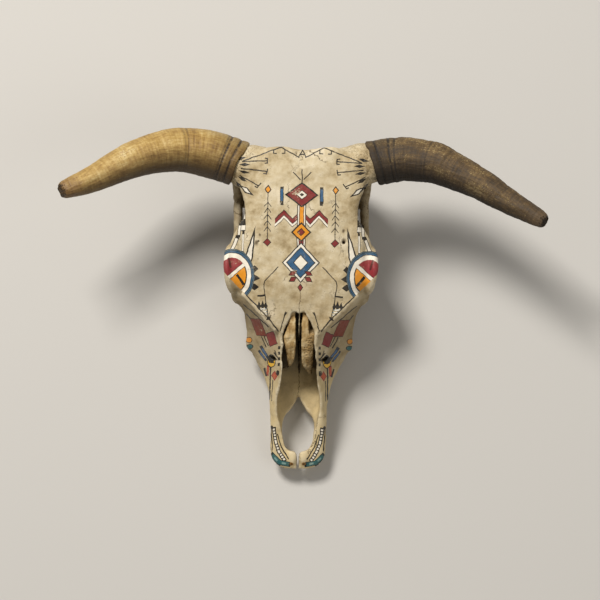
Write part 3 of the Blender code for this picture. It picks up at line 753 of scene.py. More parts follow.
# Small nerve holes over the eyes, with the stain round them.
for x, y, size in ((-66.0, 335.5, 5.0), (62.4, 340.0, 5.4), (62.1, 354.8, 3.4), (-61.0, 347.0, 2.6)):
    stretch, shift = (1 / size, 0.8 / size, 0.0), (-x / size, -0.8 * y / size, 0.0)
    reach = add_node(tree, "VectorMath", [face_mm, stretch, shift], operation="MULTIPLY_ADD")
    reach = add_node(tree, "VectorMath", [reach], operation="LENGTH")
    reach = add_node(tree, "Math", [reach, mottle], operation="ADD")
    bone = stain(tree, bone, "4A3820", reach, 1.35, 0.75, 0.85)

# How the paint lies: acrylic, brushed on by hand in flat crimson, rust, ochre, blue, white and
# black. It is a little glossier than the bone, its edges waver, and it has rubbed off in places.
BLACK, WHITE, CRIMSON, RUST = "120F0D", "EDE7D8", "7E2224", "782A14"
OCHRE, BLUE, TEAL, SLATE = "E5951B", "1F567F", "2C6466", "54707F"
WAVER = 1.3  # mm that a brushed edge strays
wobble = add_node(tree, "TexNoise", {"Vector": face_mm, "Scale": 1 / 11.0, "Detail": 2.0})
spread, shift = (2 * WAVER, 2 * WAVER, 0.0), (-WAVER, -WAVER, 0.0)
wobble = add_node(tree, "VectorMath", [wobble.outputs["Color"], spread, shift], operation="MULTIPLY_ADD")
brush = add_node(tree, "VectorMath", [face_mm, wobble], operation="ADD")
halves = add_node(tree, "VectorMath", [brush], operation="ABSOLUTE")


def patch(centre, across, down, place=None):
    """A painted patch with slanted sides, from its centre and half of the two sides that leave a
    corner: 0 in its middle and 1 at its edge."""
    a, b = Vector(across), Vector(down)
    area = a.x * b.y - a.y * b.x
    here = add_node(tree, "VectorMath", [place or halves, (*centre, 0.0)], operation="SUBTRACT")
    levels = []
    for slope in ((b.y / area, -b.x / area, 0.0), (-a.y / area, a.x / area, 0.0)):
        level = add_node(tree, "VectorMath", [here, slope], operation="DOT_PRODUCT")
        levels.append(add_node(tree, "Math", [level], operation="ABSOLUTE"))
    return add_node(tree, "Math", [levels[0], levels[1]], operation="MAXIMUM")


def lozenge(centre, size, turn=0.0, place=None):
    """A painted lozenge or spear point of two half lengths, turned by degrees."""
    turn = math.radians(turn)
    tip = Vector((math.cos(turn), math.sin(turn))) * size[0] / 2
    side = Vector((-math.sin(turn), math.cos(turn))) * size[1] / 2
    return patch(centre, tip + side, tip - side, place)


def stroke(start, end, half, place=None):
    """A straight brush stroke between two places, with half of its width."""
    a, b = Vector(start), Vector(end)
    way = (b - a).normalized()
    return patch((a + b) / 2, (b - a) / 2 + way * half, Vector((-way.y, way.x)) * half, place)


def disc(centre, size, place=None):
    """A painted spot of two half widths: 0 in its middle and 1 at its edge."""
    stretch = (1 / size[0], 1 / size[1], 0.0)
    shift = (-centre[0] / size[0], -centre[1] / size[1], 0.0)
    here = add_node(tree, "VectorMath", [place or halves, stretch, shift], operation="MULTIPLY_ADD")
    return add_node(tree, "VectorMath", [here], operation="LENGTH")


def lay_paint(coat, measure, stops, within=(), span=None):
    """Paints bands of colour over the coat, from a mark's middle, 0, to its edge, 1, where every
    share in within is 1 and, for a span of (value, low, high), where the value lies between the two.
    A coat is its colour and the share of the bone that it covers."""
    colour, cover = coat
    bands = add_node(tree, "ValToRGB", [measure])
    colour_stops(bands, stops + [(0.999, None)], sharp=True)
    share = bands.outputs["Alpha"]
    if span:
        value, low, high = span
        between = add_node(tree, "Math", [value, (low + high) / 2, (high - low) / 2], operation="COMPARE")
        within = [*within, between]
    for limit in within:
        share = add_node(tree, "Math", [share, limit], operation="MULTIPLY")
    colour = add_node(tree, "Mix", {0: share, 6: colour, 7: bands.outputs["Color"]}, data_type="RGBA")
    return colour, add_node(tree, "Math", [cover, share], operation="MAXIMUM")


def paint_marks(coat, marks, stops):
    """Paints many marks alike. Each mark is (function, *its measures)."""
    nearest = None
    for shape, *measures in marks:
        mark = shape(*measures)
        if nearest:
            mark = add_node(tree, "Math", [nearest, mark], operation="MINIMUM")
        nearest = mark
    return lay_paint(coat, nearest, stops)


aside, upward, _ = add_node(tree, "SeparateXYZ", [halves]).outputs  # mm from the midline and muzzle tip
no_colour = add_node(tree, "RGB")
no_colour.outputs[0].default_value = hex_linear(BLACK)
painted = (no_colour, add_node(tree, "Math", [0.0, 0.0], operation="MINIMUM"))

# Poll: a zigzag line with a small peak in its middle, and barred strokes that fan from the horns.
HALF_LINE = 0.85  # mm, half of a thin black line
poll_lines = [
    ((87, 456.2), (31.8, 477.2)), ((31.8, 477.2), (5, 462.3)), ((5.2, 463), (0, 473.6)),
    ((3.6, 466.8), (0, 466.8)), ((42.5, 472.4), (42.5, 467.7)), ((42.5, 467.7), (38.4, 467.7)),
    ((26, 473.6), (26, 468.2)), ((26, 468.2), (29.6, 468)), ((88, 455.2), (51.5, 456.6)),
    ((51.5, 460), (51.4, 453)), ((51.5, 460), (55, 460.4)), ((51.4, 453), (55, 452.8)),
    ((90, 445), (52, 440.8)), ((51.2, 444), (53, 437)), ((53, 437), (56.4, 437.6)),
    ((92, 434.2), (64.2, 419.2)), ((61.3, 423.1), (66, 416.7)), ((66, 416.7), (69, 418.4)),
]
marks = [(stroke, a, b, HALF_LINE) for a, b in poll_lines]
POLL_SPIKES = ((85, 450.6, 0), (86, 440, 12), (88, 429, 30), (91, 459.6, -14), (93, 420.5, 44))
marks += [(lozenge, (x, y), (8.5, 2.5), turn) for x, y, turn in POLL_SPIKES]
painted = paint_marks(painted, marks, [(0.0, BLACK)])
painted = lay_paint(painted, lozenge((82.5, 412.6), (14.5, 4.2), 34), [(0.0, WHITE), (0.55, BLACK)])

# Temples: a border of black and white dashes along the edge of the forehead plate.
TEMPLE_EDGE = ((300, 88), (330, 87.2), (364, 87), (392, 88.5), (412, 95.5), (424, 103))
EDGE_START, EDGE_LENGTH = 300.0, 124.0  # mm from the muzzle tip to the border, and how long it is
EDGE_IN, EDGE_SWING = 80.0, 30.0  # mm from the midline to the least it may be, and its range
edge_curve = add_node(tree, "MapRange", [upward, EDGE_START, EDGE_START + EDGE_LENGTH], clamp=False)
edge_curve = add_node(tree, "FloatCurve", {"Value": edge_curve})
curve = edge_curve.mapping.curves[0]
spots = [((y - EDGE_START) / EDGE_LENGTH, (x - EDGE_IN) / EDGE_SWING) for y, x in TEMPLE_EDGE]
curve.points[0].location, curve.points[-1].location = spots[0], spots[-1]
for spot in spots[1:-1]:
    curve.points.new(*spot)
edge_curve.mapping.update()
edge_curve = add_node(tree, "Math", [edge_curve, EDGE_SWING, EDGE_IN], operation="MULTIPLY_ADD")
from_edge = add_node(tree, "Math", [aside, edge_curve], operation="SUBTRACT")
from_edge = add_node(tree, "MapRange", [from_edge, -4.6, 3.4], clamp=False)
dash = add_node(tree, "Math", [upward, 8.5], operation="PINGPONG")
dash = add_node(tree, "Math", [dash, 3.6], operation="GREATER_THAN")
edge_height = add_node(tree, "Math", [out, -27.0], operation="GREATER_THAN")
for bands, limits in (
    ([(0.0, None), (0.02, BLACK), (0.1, WHITE)], [edge_height]),
    ([(0.0, None), (0.02, BLACK)], [edge_height, dash]),
):
    painted = lay_paint(painted, from_edge, bands, limits, span=(upward, 352, 421))

# Forehead: a chain of lozenges on the midline with a zigzag band across it and a barred stem on
# either side, all outlined in black.
STEM_LINE = 50.0  # mm from the midline to a stem
stem_x = add_node(tree, "Math", [aside, STEM_LINE], operation="SUBTRACT")
stem_off = add_node(tree, "Math", [stem_x], operation="ABSOLUTE")
barbs = add_node(tree, "Math", [stem_off, 1.3, upward], operation="MULTIPLY_ADD")
barbs = add_node(tree, "Math", [barbs, 4.6], operation="PINGPONG")
barbs = add_node(tree, "Math", [barbs, 0.95], operation="LESS_THAN")
stem = add_node(tree, "Math", [stem_off, 1 / 5.2], operation="MULTIPLY")
painted = lay_paint(painted, stem, [(0.0, BLACK)], [barbs], span=(upward, 349, 398))
painted = paint_marks(painted, [(stroke, (STEM_LINE, 340), (STEM_LINE, 412), 0.6)], [(0.0, BLACK)])
painted = lay_paint(painted, lozenge((STEM_LINE, 414), (5.2, 7)), [(0.0, OCHRE), (0.62, BLACK)])
painted = lay_paint(painted, lozenge((STEM_LINE, 336), (6.2, 6.2)), [(0.0, CRIMSON), (0.78, BLACK)])

wave = add_node(tree, "Math", [aside, 13.0], operation="PINGPONG")
wave = add_node(tree, "Math", [upward, wave], operation="ADD")
band = add_node(tree, "MapRange", [wave, 371.0, 386.0], clamp=False)
ZIGZAG = [(0.0, None), (0.02, BLACK), (0.1, WHITE), (0.34, BLACK), (0.42, CRIMSON), (0.82, BLACK)]
ZIGZAG += [(0.92, None)]
painted = lay_paint(painted, band, ZIGZAG, span=(aside, -1.0, 39))
column = add_node(tree, "Math", [aside, 1 / 6.5], operation="MULTIPLY")
column_bands = [(0.0, OCHRE), (0.42, BLACK), (0.56, WHITE), (0.8, BLACK)]
painted = lay_paint(painted, column, column_bands, span=(upward, 292, 400))
steps = add_node(tree, "Math", [upward, 7.0], operation="PINGPONG")
steps = add_node(tree, "Math", [steps, 3.2], operation="LESS_THAN")
core = add_node(tree, "Math", [aside, 1 / 2.9], operation="MULTIPLY")
painted = lay_paint(painted, core, [(0.0, CRIMSON)], [steps], span=(upward, 300, 352))
MEDALLIONS = (
    ((0, 407), (25, 19), [(0.0, BLACK), (0.13, WHITE), (0.3, BLACK), (0.36, CRIMSON), (0.86, BLACK)]),
    ((0, 352), (15, 15), [(0.0, CRIMSON), (0.3, BLACK), (0.4, OCHRE), (0.8, BLACK)]),
    (
        (0, 307), (28, 30),
        [(0.0, WHITE), (0.34, BLACK), (0.4, BLUE), (0.72, BLACK), (0.78, WHITE), (0.92, BLACK)],
    ),
)
for centre, size, bands in MEDALLIONS:
    painted = lay_paint(painted, lozenge(centre, size, 0, brush), bands)
marks = [(lozenge, (11.5, y), (7.5, 4.2), -28) for y in (291, 282)] + [(lozenge, (0, 270), (4.5, 6.5))]
painted = paint_marks(painted, marks, [(0.0, CRIMSON), (0.72, BLACK)])
marks = [
    (stroke, (0, 426), (0, 444), 0.8), (stroke, (3, 430), (13, 440), 0.8),
    (stroke, (29, 407), (29, 394), 2.4),
]
painted = paint_marks(painted, marks, [(0.0, BLACK)])
painted = lay_paint(painted, stroke((29.5, 416), (29.5, 397), 2.6), [(0.0, BLUE), (0.72, BLACK)])

# Between the eyes: thin lines down to the nose, short bars and a small stepped hill on stripes.
thin_lines = [
    ((33, 300), (52.6, 279.5)), ((52.6, 279.5), (54, 274)), ((54, 274), (51.3, 252)),
    ((51.3, 252), (45.6, 222)),
]
bold_lines = [((62, 256.6), (53.4, 257.4)), ((49, 241.8), (63.6, 241.8))]
marks = [(stroke, a, b, HALF_LINE * 0.8) for a, b in thin_lines]
marks += [(stroke, a, b, 1.3) for a, b in bold_lines]
marks += [(lozenge, (x, 242.5), (2.8, tall), 0) for x, tall in ((50.8, 5.5), (55.4, 8), (60.8, 6.5))]
marks += [(lozenge, (46.6, 224.4), (5, 2.6), -40)]
painted = paint_marks(painted, marks, [(0.0, BLACK)])
marks = [(stroke, (50.6, 237.6), (60.5, 237.8), 1.0), (stroke, (49.6, 233.8), (57, 234.2), 1.0)]
marks += [(stroke, (48.8, 230), (53.4, 230.4), 0.9)]
painted = paint_marks(painted, marks, [(0.0, WHITE), (0.7, SLATE)])

# Eye sockets: white feathers that point up from a round shield of rings, with black rays beside it.
feathers = [(lozenge, (76.2, 316), (45, 6.2), 101), (stroke, (91, 362), (92, 345), 2.4)]
feathers += [(stroke, (94.5, 343), (103, 323), 3.0), (stroke, (85.6, 352), (86.4, 318), 1.7)]
painted = paint_marks(painted, feathers, [(0.0, WHITE), (0.66, BLACK)])
rays = [(lozenge, (68, y), (reach, 5.4), 0) for y, reach in ((283.2, 8.4), (270, 7.0), (296.5, 5.5))]
painted = paint_marks(painted, rays, [(0.0, BLACK)])
shield = disc((101.2, 285.8), (33.4, 40.2))
bevel = add_node(tree, "Math", [upward, aside], operation="SUBTRACT")
bevel = add_node(tree, "Math", [bevel, 177.5], operation="GREATER_THAN")
SHIELD_RINGS = [
    (0.0, OCHRE), (0.62, BLACK), (0.665, WHITE), (0.835, BLACK), (0.862, "2F5876"), (0.925, "1B2A36"),
    (0.95, SLATE), (0.978, BLACK),
]
painted = lay_paint(painted, shield, SHIELD_RINGS, [bevel])
inside = add_node(tree, "Math", [shield, 0.665], operation="LESS_THAN")
cross_line = add_node(tree, "VectorMath", [halves, (95.0, 293.1, 0.0)], operation="SUBTRACT")
cross_line = add_node(tree, "VectorMath", [cross_line, (0.6534, 0.757, 0.0)], operation="DOT_PRODUCT")
cross_line = add_node(tree, "MapRange", [cross_line, -10.0, 30.0], clamp=False)
crossing = [(0.0, None), (0.167, BLACK), (0.185, WHITE), (0.31, BLACK), (0.33, "8E2C33")]
painted = lay_paint(painted, cross_line, crossing, [inside, bevel])
painted = lay_paint(painted, stroke((93.6, 285.8), (84.8, 274.6), 2.0), [(0.0, BLACK)])
painted = lay_paint(painted, stroke((106.5, 311), (103.5, 299), 1.4), [(0.0, "55191E")])

# Cheeks: slanted rust and crimson patches between long black lines, and forked twigs by the nose.
cheek_lines = [
    ((79, 256.5), (62, 239.6), 1.0), ((62, 239.6), (45.6, 223.2), 1.0), ((45.6, 223.2), (32, 205.4), 1.0),
    ((84, 243.5), (67.2, 229.5), 0.8), ((67.2, 229.5), (47, 211.5), 0.8), ((28.5, 206.6), (22.6, 230), 0.7),
    ((22.6, 230), (21.2, 233.4), 0.7), ((22.6, 228.6), (19.4, 233), 0.6), ((28.8, 206), (26.2, 212.4), 0.7),
    ((57, 196), (49.4, 181), 0.8), ((53.4, 197.4), (46.2, 183.4), 0.7), ((73.6, 222.4), (79.5, 229), 0.9),
]
painted = paint_marks(painted, [(stroke, a, b, half) for a, b, half in cheek_lines], [(0.0, BLACK)])
painted = lay_paint(
    painted, patch((61.85, 210.2), (7.7, 0.2), (5.45, 13.0)), [(0.0, RUST), (0.93, "2A120C")]
)
painted = lay_paint(
    painted, patch((41.6, 193.3), (5.9, -2.5), (3.3, 9.8)), [(0.0, CRIMSON), (0.9, "2A120C")]
)

# Round the hole of the cheek nerve: yellow and black rings with blue and orange feather strokes.
painted = paint_marks(
    painted, [(stroke, (57, 180), (47.6, 166), 2.2), (stroke, (60, 174.5), (50.5, 161.5), 1.7)],
    [(0.0, "3B5E86"), (0.6, "1C2736")],
)
painted = paint_marks(
    painted, [(stroke, (46.2, 151.8), (47.2, 139.4), 2.0), (lozenge, (36.6, 138.4), (4.8, 8.0), 0)],
    [(0.0, "B5502C"), (0.7, "8A2A2A")],
)
marks = [
    (stroke, (51.6, 148), (49.2, 138), 1.3), (disc, (31.6, 142.5), (2.4, 4.4)),
    (stroke, (42.4, 150), (43.4, 103), 1.1), (stroke, (39, 131), (40.6, 101), 0.6),
    (stroke, (37.6, 172.5), (32.4, 166), 0.9),
    (stroke, (36.4, 176), (33.8, 168), 0.7),
]
painted = paint_marks(painted, marks, [(0.0, BLACK)])
painted = lay_paint(painted, disc((41.2, 159.6), (6.4, 9.6)), [(0.0, "E2B02C"), (0.84, BLACK)])
painted = lay_paint(painted, disc((41.2, 163.4), (5.4, 6.6)), [(0.0, BLACK)])
painted = lay_paint(painted, stroke((37.4, 157.6), (44.8, 158.4), 0.8), [(0.0, BLACK)])
nose_beads = add_node(tree, "Math", [upward, 4.2], operation="PINGPONG")
nose_beads = add_node(tree, "Math", [nose_beads, 1.9], operation="GREATER_THAN")
painted = lay_paint(
    painted, stroke((30.0, 188), (30.6, 148), 1.8), [(0.0, BLACK)], [nose_beads], span=(upward, 150, 186)
)
painted = lay_paint(painted, disc((75.5, 190.5), (5.2, 4.6)), [(0.0, "D58A22"), (0.8, BLACK)])
painted = lay_paint(painted, disc((74.6, 180.6), (5.4, 3.6)), [(0.0, TEAL), (0.75, BLACK)])

# Muzzle: a black band with white beads on either side, and teal patches on the tips.
muzzle_bands = [((36, 58), (33.6, 40)), ((33.6, 40), (28.6, 25)), ((28.6, 25), (20.4, 12.4))]
painted = paint_marks(painted, [(stroke, a, b, 3.0) for a, b in muzzle_bands], [(0.0, BLACK)])
for a, b in muzzle_bands:
    way = (Vector(b) - Vector(a)).normalized()
    pearl = add_node(tree, "VectorMath", [halves, (*b, 0.0)], operation="SUBTRACT")
    pearl = add_node(tree, "VectorMath", [pearl, (*way, 0.0)], operation="DOT_PRODUCT")
    pearl = add_node(tree, "Math", [pearl, 2.2], operation="PINGPONG")
    pearl = add_node(tree, "Math", [pearl, 1.4], operation="LESS_THAN")
    painted = lay_paint(painted, stroke(a, b, 1.5), [(0.0, WHITE)], [pearl])
marks = [
    (stroke, (30.4, 50), (24.6, 31), 0.8), (stroke, (24.6, 31), (14, 13.6), 0.9),
    (stroke, (40.4, 60), (38.4, 26), 0.8),
]
painted = paint_marks(painted, marks, [(0.0, BLACK)])
painted = paint_marks(
    painted, [(stroke, (37.5, 18), (27.5, 8), 4.2), (stroke, (27.5, 8), (14, 5.4), 3.8)],
    [(0.0, "7FA3A0"), (0.3, TEAL), (0.72, "14282B")],
)
painted = lay_paint(painted, disc((9.4, 6.2), (2.6, 2.6)), [(0.0, BLACK), (0.4, "9A6A1C")])
painted = lay_paint(painted, disc((39.6, 61), (2.2, 2.6)), [(0.0, BLACK)])

# Where the paint is on: only on bone that shows from the forehead side, and not where it has
# rubbed off.
front = add_node(tree, "Attribute", attribute_name="front").outputs["Fac"]
front = add_node(tree, "Math", [front, 0.5], operation="GREATER_THAN")
rub = add_node(tree, "Math", [mottle, 0.6], operation="MULTIPLY")
rub = add_node(tree, "Math", [grain, 0.4, rub], operation="MULTIPLY_ADD")
rub = add_node(tree, "MapRange", [rub, 0.6, 0.66, 1.0, 0.15])
paint, kept = painted
for limit in (front, rub):
    kept = add_node(tree, "Math", [kept, limit], operation="MULTIPLY")
surface = add_node(tree, "Mix", {0: kept, 6: bone, 7: paint}, data_type="RGBA")
surface = stain(tree, surface, "B5A684", mottle, 0.35, 0.7, 0.1)  # dust
gloss = add_node(tree, "MapRange", [kept, 0.0, 1.0, 0.82, 0.5])
gloss = add_node(tree, "Math", [mottle, 0.16, gloss], operation="MULTIPLY_ADD")
gloss = add_node(tree, "Math", [gloss, 0.08], operation="SUBTRACT")
height = grain
for measure, rise in ((pore, -0.5), (mottle, 1.4), (crack, -1.2)):
    height = add_node(tree, "Math", [measure, rise, height], operation="MULTIPLY_ADD")
relief = add_node(tree, "Bump", {"Strength": 0.6, "Distance": 0.0006, "Height": height})
fill(tree, shader, {"Base Color": surface, "Roughness": gloss, "Specular IOR Level": 0.4, "Normal": relief})
skull.data.materials.append(bone_finish)
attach(skull, "root")
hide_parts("skull")


# The scroll bones. Thin curled plates that hang in the nose from its side walls, with the edge of
# the septum between them. They are bone as thin as card, grown to the skull. The left one is smooth
# and ends in a point, and the right one has a hole in it and has crumbled at its end.
LEFT_SCROLL = [  # distance from the muzzle tip, inner side, outer side, top, thickness
    (252, -8, -15, -22, 20),
    (238, -7.5, -16, -17, 24),
    (224, -6.6, -17, -14.5, 26),
    (208, -6.3, -19, -14, 28),
    (196, -6.1, -24, -17, 28),
    (184, -6, -21.5, -22, 26),
    (172, -6.2, -19, -30, 22),
    (162, -8.6, -17.4, -39, 17),
    (153, -13, -15.4, -50, 8),
]
RIGHT_SCROLL = [
    (252, 4.5, 15, -22, 20),
    (238, 4, 16, -17, 24),
    (224, 3.6, 19, -15, 26),
    (208, 3.3, 23.5, -15.5, 28),
    (196, 3.2, 24, -19, 28),
    (184, 3.2, 21, -24, 26),
    (170, 3.4, 20.5, -32, 24),
    (157, 4.2, 20, -42, 20),
    (149, 9, 19.6, -49, 15),
    (141, 15.4, 18.4, -58, 8),
]


def scroll_forms():
    """Both scroll bones, the lower pair and the septum."""
    bm = bmesh.new()
    for rows in (LEFT_SCROLL, RIGHT_SCROLL):
        stations = np.array(rows, float)
        order = np.argsort(stations[:, 0])
        rings = []
        for y in np.arange(stations[-1, 0], stations[0, 0] + 1, 1.5):
            inner, outer, top, deep = [
                np.interp(y, stations[order, 0], stations[order, k]) for k in (1, 2, 3, 4)
            ]
            wide = outer - inner
            section = [(inner, top - 1.5), (inner + 0.12 * wide, top), (inner + 0.35 * wide, top - 0.6)]
            section += [(inner + 0.62 * wide, top + 0.2), (inner + 0.86 * wide, top - 2.2), (outer, top - 6)]
            section += [(outer - 0.1 * wide, top - deep), (inner + 0.1 * wide, top - deep)]
            rings.append(smooth_ring([(x, y, z) for x, z in section], 3))
        skin(bm, rings)
    for side in (-1, 1):
        lower = [(30, 240, -78), (28, 200, -82), (24, 168, -86), (20, 150, -90)]
        bar(bm, lower, [(12, 10), (12, 10), (10, 8), (5, 5)], side=side)
        web = [(46, 240, -78), (44, 200, -83), (36, 168, -87)]
        bar(bm, web, [(16, 4), (18, 4), (14, 4)], side=side)
    septum = [(0, 284, -92), (0, 230, -99), (0, 180, -103), (0, 140, -108)]
    bar(bm, septum, [(2.6, 22), (2.4, 20), (2.2, 12), (2, 6)])
    crest = [(-0.6, 262, -46), (-0.6, 236, -36), (-0.7, 214, -35), (-0.8, 194, -44)]
    bar(bm, crest, [(1.1, 24), (1.0, 20), (1.0, 18), (1.0, 10)])
    return bm


def scroll_gaps():
    """The folds in the curled plates, and the hole that has broken into the right one."""
    bm = bmesh.new()
    bar(bm, [(-19, 236, -14), (-20.5, 214, -12), (-22.5, 201, -14)], [(1.2, 7), (1.3, 7), (0.8, 5)])
    bar(bm, [(16.4, 227, -8), (17.2, 214, -14), (18, 202, -22)], [(2.8, 14), (4.6, 16), (3.8, 14)])
    for x, half, start, end in ((10.6, 0.9, 200, 160), (15.2, 1.0, 192, 150), (7.4, 0.5, 216, 176)):
        fold = [(x - 0.6, start, -15 - 0.15 * (216 - start)), (x, (start + end) / 2, -25), (x + 1, end, -43)]
        bar(bm, fold, [(half * 0.5, 4), (half, 5), (half * 0.7, 5)])
    return bm


SCROLL_TRIANGLES = 90000
scrolls = to_object(scroll_forms(), "scroll_bones")
grow_together(scrolls, 1.2)
gaps = to_object(scroll_gaps(), "gaps")
grow_together(gaps, 0.8)
cut_away(scrolls, gaps)
grow_together(scrolls, 0.95)
settle(scrolls, [gaps])
fill_creases(scrolls.data, 3)
rough_up(scrolls.data, [(14, 0.9), (5, 0.55), (2.4, 0.3)], 9.0)
for place, size in (
    ((16, 176, -28), (12, 26, 22)), ((16, 150, -48), (10, 18, 22)), ((19, 196, -20), (8, 14, 20)),
):
    pit(scrolls.data, place, size, 3.4, 1.9)
keep_facets(scrolls, SCROLL_TRIANGLES)

# What the thin bone looks like: yellower and dirtier than the rest, smooth on the left scroll and stained
# brown and full of small holes on the right one, with painted shade that darkens it deep in the nose and in
# its folds. No paint has reached it.
thin_bone, tree, shader, face_mm, recess, edge = new_finish("thin_bone", "face_mm", "recess", "edge")
lengthwise = add_node(tree, "VectorMath", [face_mm, (1.0, 0.25, 0.4)], operation="MULTIPLY")
streaks = add_node(
    tree, "TexNoise", {"Vector": lengthwise, "Scale": 1 / 3.4, "Detail": 4.0, "Roughness": 0.65}
)
stains = add_node(tree, "TexNoise", {"Vector": face_mm, "Scale": 1 / 12.0, "Detail": 3.0})
tone = add_node(tree, "Math", [streaks, 0.5], operation="MULTIPLY")
tone = add_node(tree, "Math", [stains, 0.5, tone], operation="MULTIPLY_ADD")
bare = add_node(tree, "ValToRGB", [tone])
colour_stops(bare, [(0.36, "8A6B3C"), (0.46, "AE9160"), (0.54, "C2A97A"), (0.64, "D3C09A")])
sideways, along, out = add_node(tree, "SeparateXYZ", [face_mm]).outputs
for code, measure, low, high, most in (
    ("7A6038", sideways, 6.0, 14.0, 0.45),  # the right scroll is browner
    ("241A0E", out, -34.0, -78.0, 0.88),  # painted shade deep in the nose
    ("241A0E", recess, 0.35, 0.85, 0.92),  # dirt and painted shade in the folds
    ("D8C8A2", edge, 0.1, 0.32, 0.5),  # chipped edges
):
    bare = stain(tree, bare, code, measure, low, high, most)
septum_edge = add_node(tree, "Math", [sideways, -0.6, 1.7], operation="COMPARE")
septum_end = add_node(tree, "MapRange", [along, 190.0, 200.0, 0.0, 0.75])
septum_edge = add_node(tree, "Math", [septum_edge, septum_end], operation="MULTIPLY")
bare = add_node(tree, "Mix", {0: septum_edge, 6: bare, 7: hex_linear("A89C7E")}, data_type="RGBA")
relief = add_node(tree, "Bump", {"Strength": 0.6, "Distance": 0.0007, "Height": streaks})
fill(tree, shader, {"Base Color": bare, "Roughness": 0.72, "Specular IOR Level": 0.35, "Normal": relief})
note_hollows(scrolls.data, 40)
lay_on_table(scrolls)
scrolls.data.materials.append(thin_bone)
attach(scrolls, "root")
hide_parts("skull")


# The horn sheaths. Each is a hollow cone of horn, grown in yearly bands from the root, that slides
# over the bone core and comes off a dry skull. The left one is honey-coloured and smooth, the right
# one dark and weathered, and both tips are blunt and fibrous.
HORN_SIDES = 96
HORN_STEP = 1.5  # mm along the horn between two rings of the mesh
HORN_GROOVES = {  # mm from the rim and how strong, for the left horn, -1, and the right one, 1
    -1: ((11, 1.0), (23, 0.9), (27, 0.5), (83, 0.42), (88, 0.34)),
    1: ((11, 1.0), (20, 0.35), (29, 0.9), (37, 0.7), (80, 0.4), (87, 0.45)),
}
GROOVE_DEPTH = 1.3
RIM_WEAR = 2.6  # how far the thin rim has crumbled back in places
TIP_ROUND = 7.0  # length of the rounded end
TIP_THIN = 30.0  # the last stretch, which tapers a little faster
RIM_SLANT = {-1: (7.5, 0.0), 1: (-2.0, -6.5)}  # mm the rim reaches back on its two sides
SLANT_REACH = 45.0  # mm over which the slant fades out


def horn_profile(side):
    """Distances from the rim with the axis point, direction and radius at each."""
    rows = horn_axis(side)
    line = smooth_line([r[:3] for r in rows], 30)
    sizes = [v.x for v in smooth_line([(r[3], 0, 0) for r in rows], 30)]
    lengths = np.concatenate(([0.0], np.cumsum([(b - a).length for a, b in zip(line, line[1:])])))
    stops = np.linspace(0, lengths[-1], round(lengths[-1] / HORN_STEP) + 1)
    centres = np.stack([np.interp(stops, lengths, [p[k] for p in line]) for k in range(3)], 1)
    ways = np.gradient(centres, stops, axis=0)
    ways /= np.linalg.norm(ways, axis=1)[:, None]
    return stops, centres, ways, np.interp(stops, lengths, sizes)


def groove_share(side, stop):
    """How deep in a growth groove a distance from the rim lies, from 0 to 1."""
    return sum(strong * math.exp(-(((stop - place) / 1.5) ** 2)) for place, strong in HORN_GROOVES[side])


def sheath_surface(side, stop, reach, radius, angle, seed):
    """Radius of the sheath's outside at one place, with its bands, fibres and worn end."""
    c, s = math.cos(angle), math.sin(angle)
    fade = math.exp(-stop / 60)
    slow = noise.noise(Vector((stop / 26, c * 1.3 + seed, s * 1.3)))
    waves = noise.noise(Vector((stop / 5.5, c * 0.5 + seed, s * 0.5)))
    fibre = noise.fractal(Vector((stop / 45, c * radius / 3.2 + seed, s * radius / 3.2)), 0.8, 2.0, 3)
    coarse = 1.0 if side < 0 else 1.7
    grown = radius - GROOVE_DEPTH * groove_share(side, stop) * (0.75 + 0.5 * slow)
    grown += slow * 0.9 + waves * (0.25 + 0.55 * fade) * coarse + fibre * 0.32 * coarse
    grown -= 1.6 * max(0.0, (stop - reach + TIP_THIN) / TIP_THIN) ** 1.5
    end = (stop - (reach - TIP_ROUND)) / TIP_ROUND
    if end > 0:
        chip = noise.noise(Vector((c * 1.6 + seed, s * 1.6, 4.0)))
        grown *= 1 - (0.2 + 0.16 * chip) * end * end
    return grown - 0.9


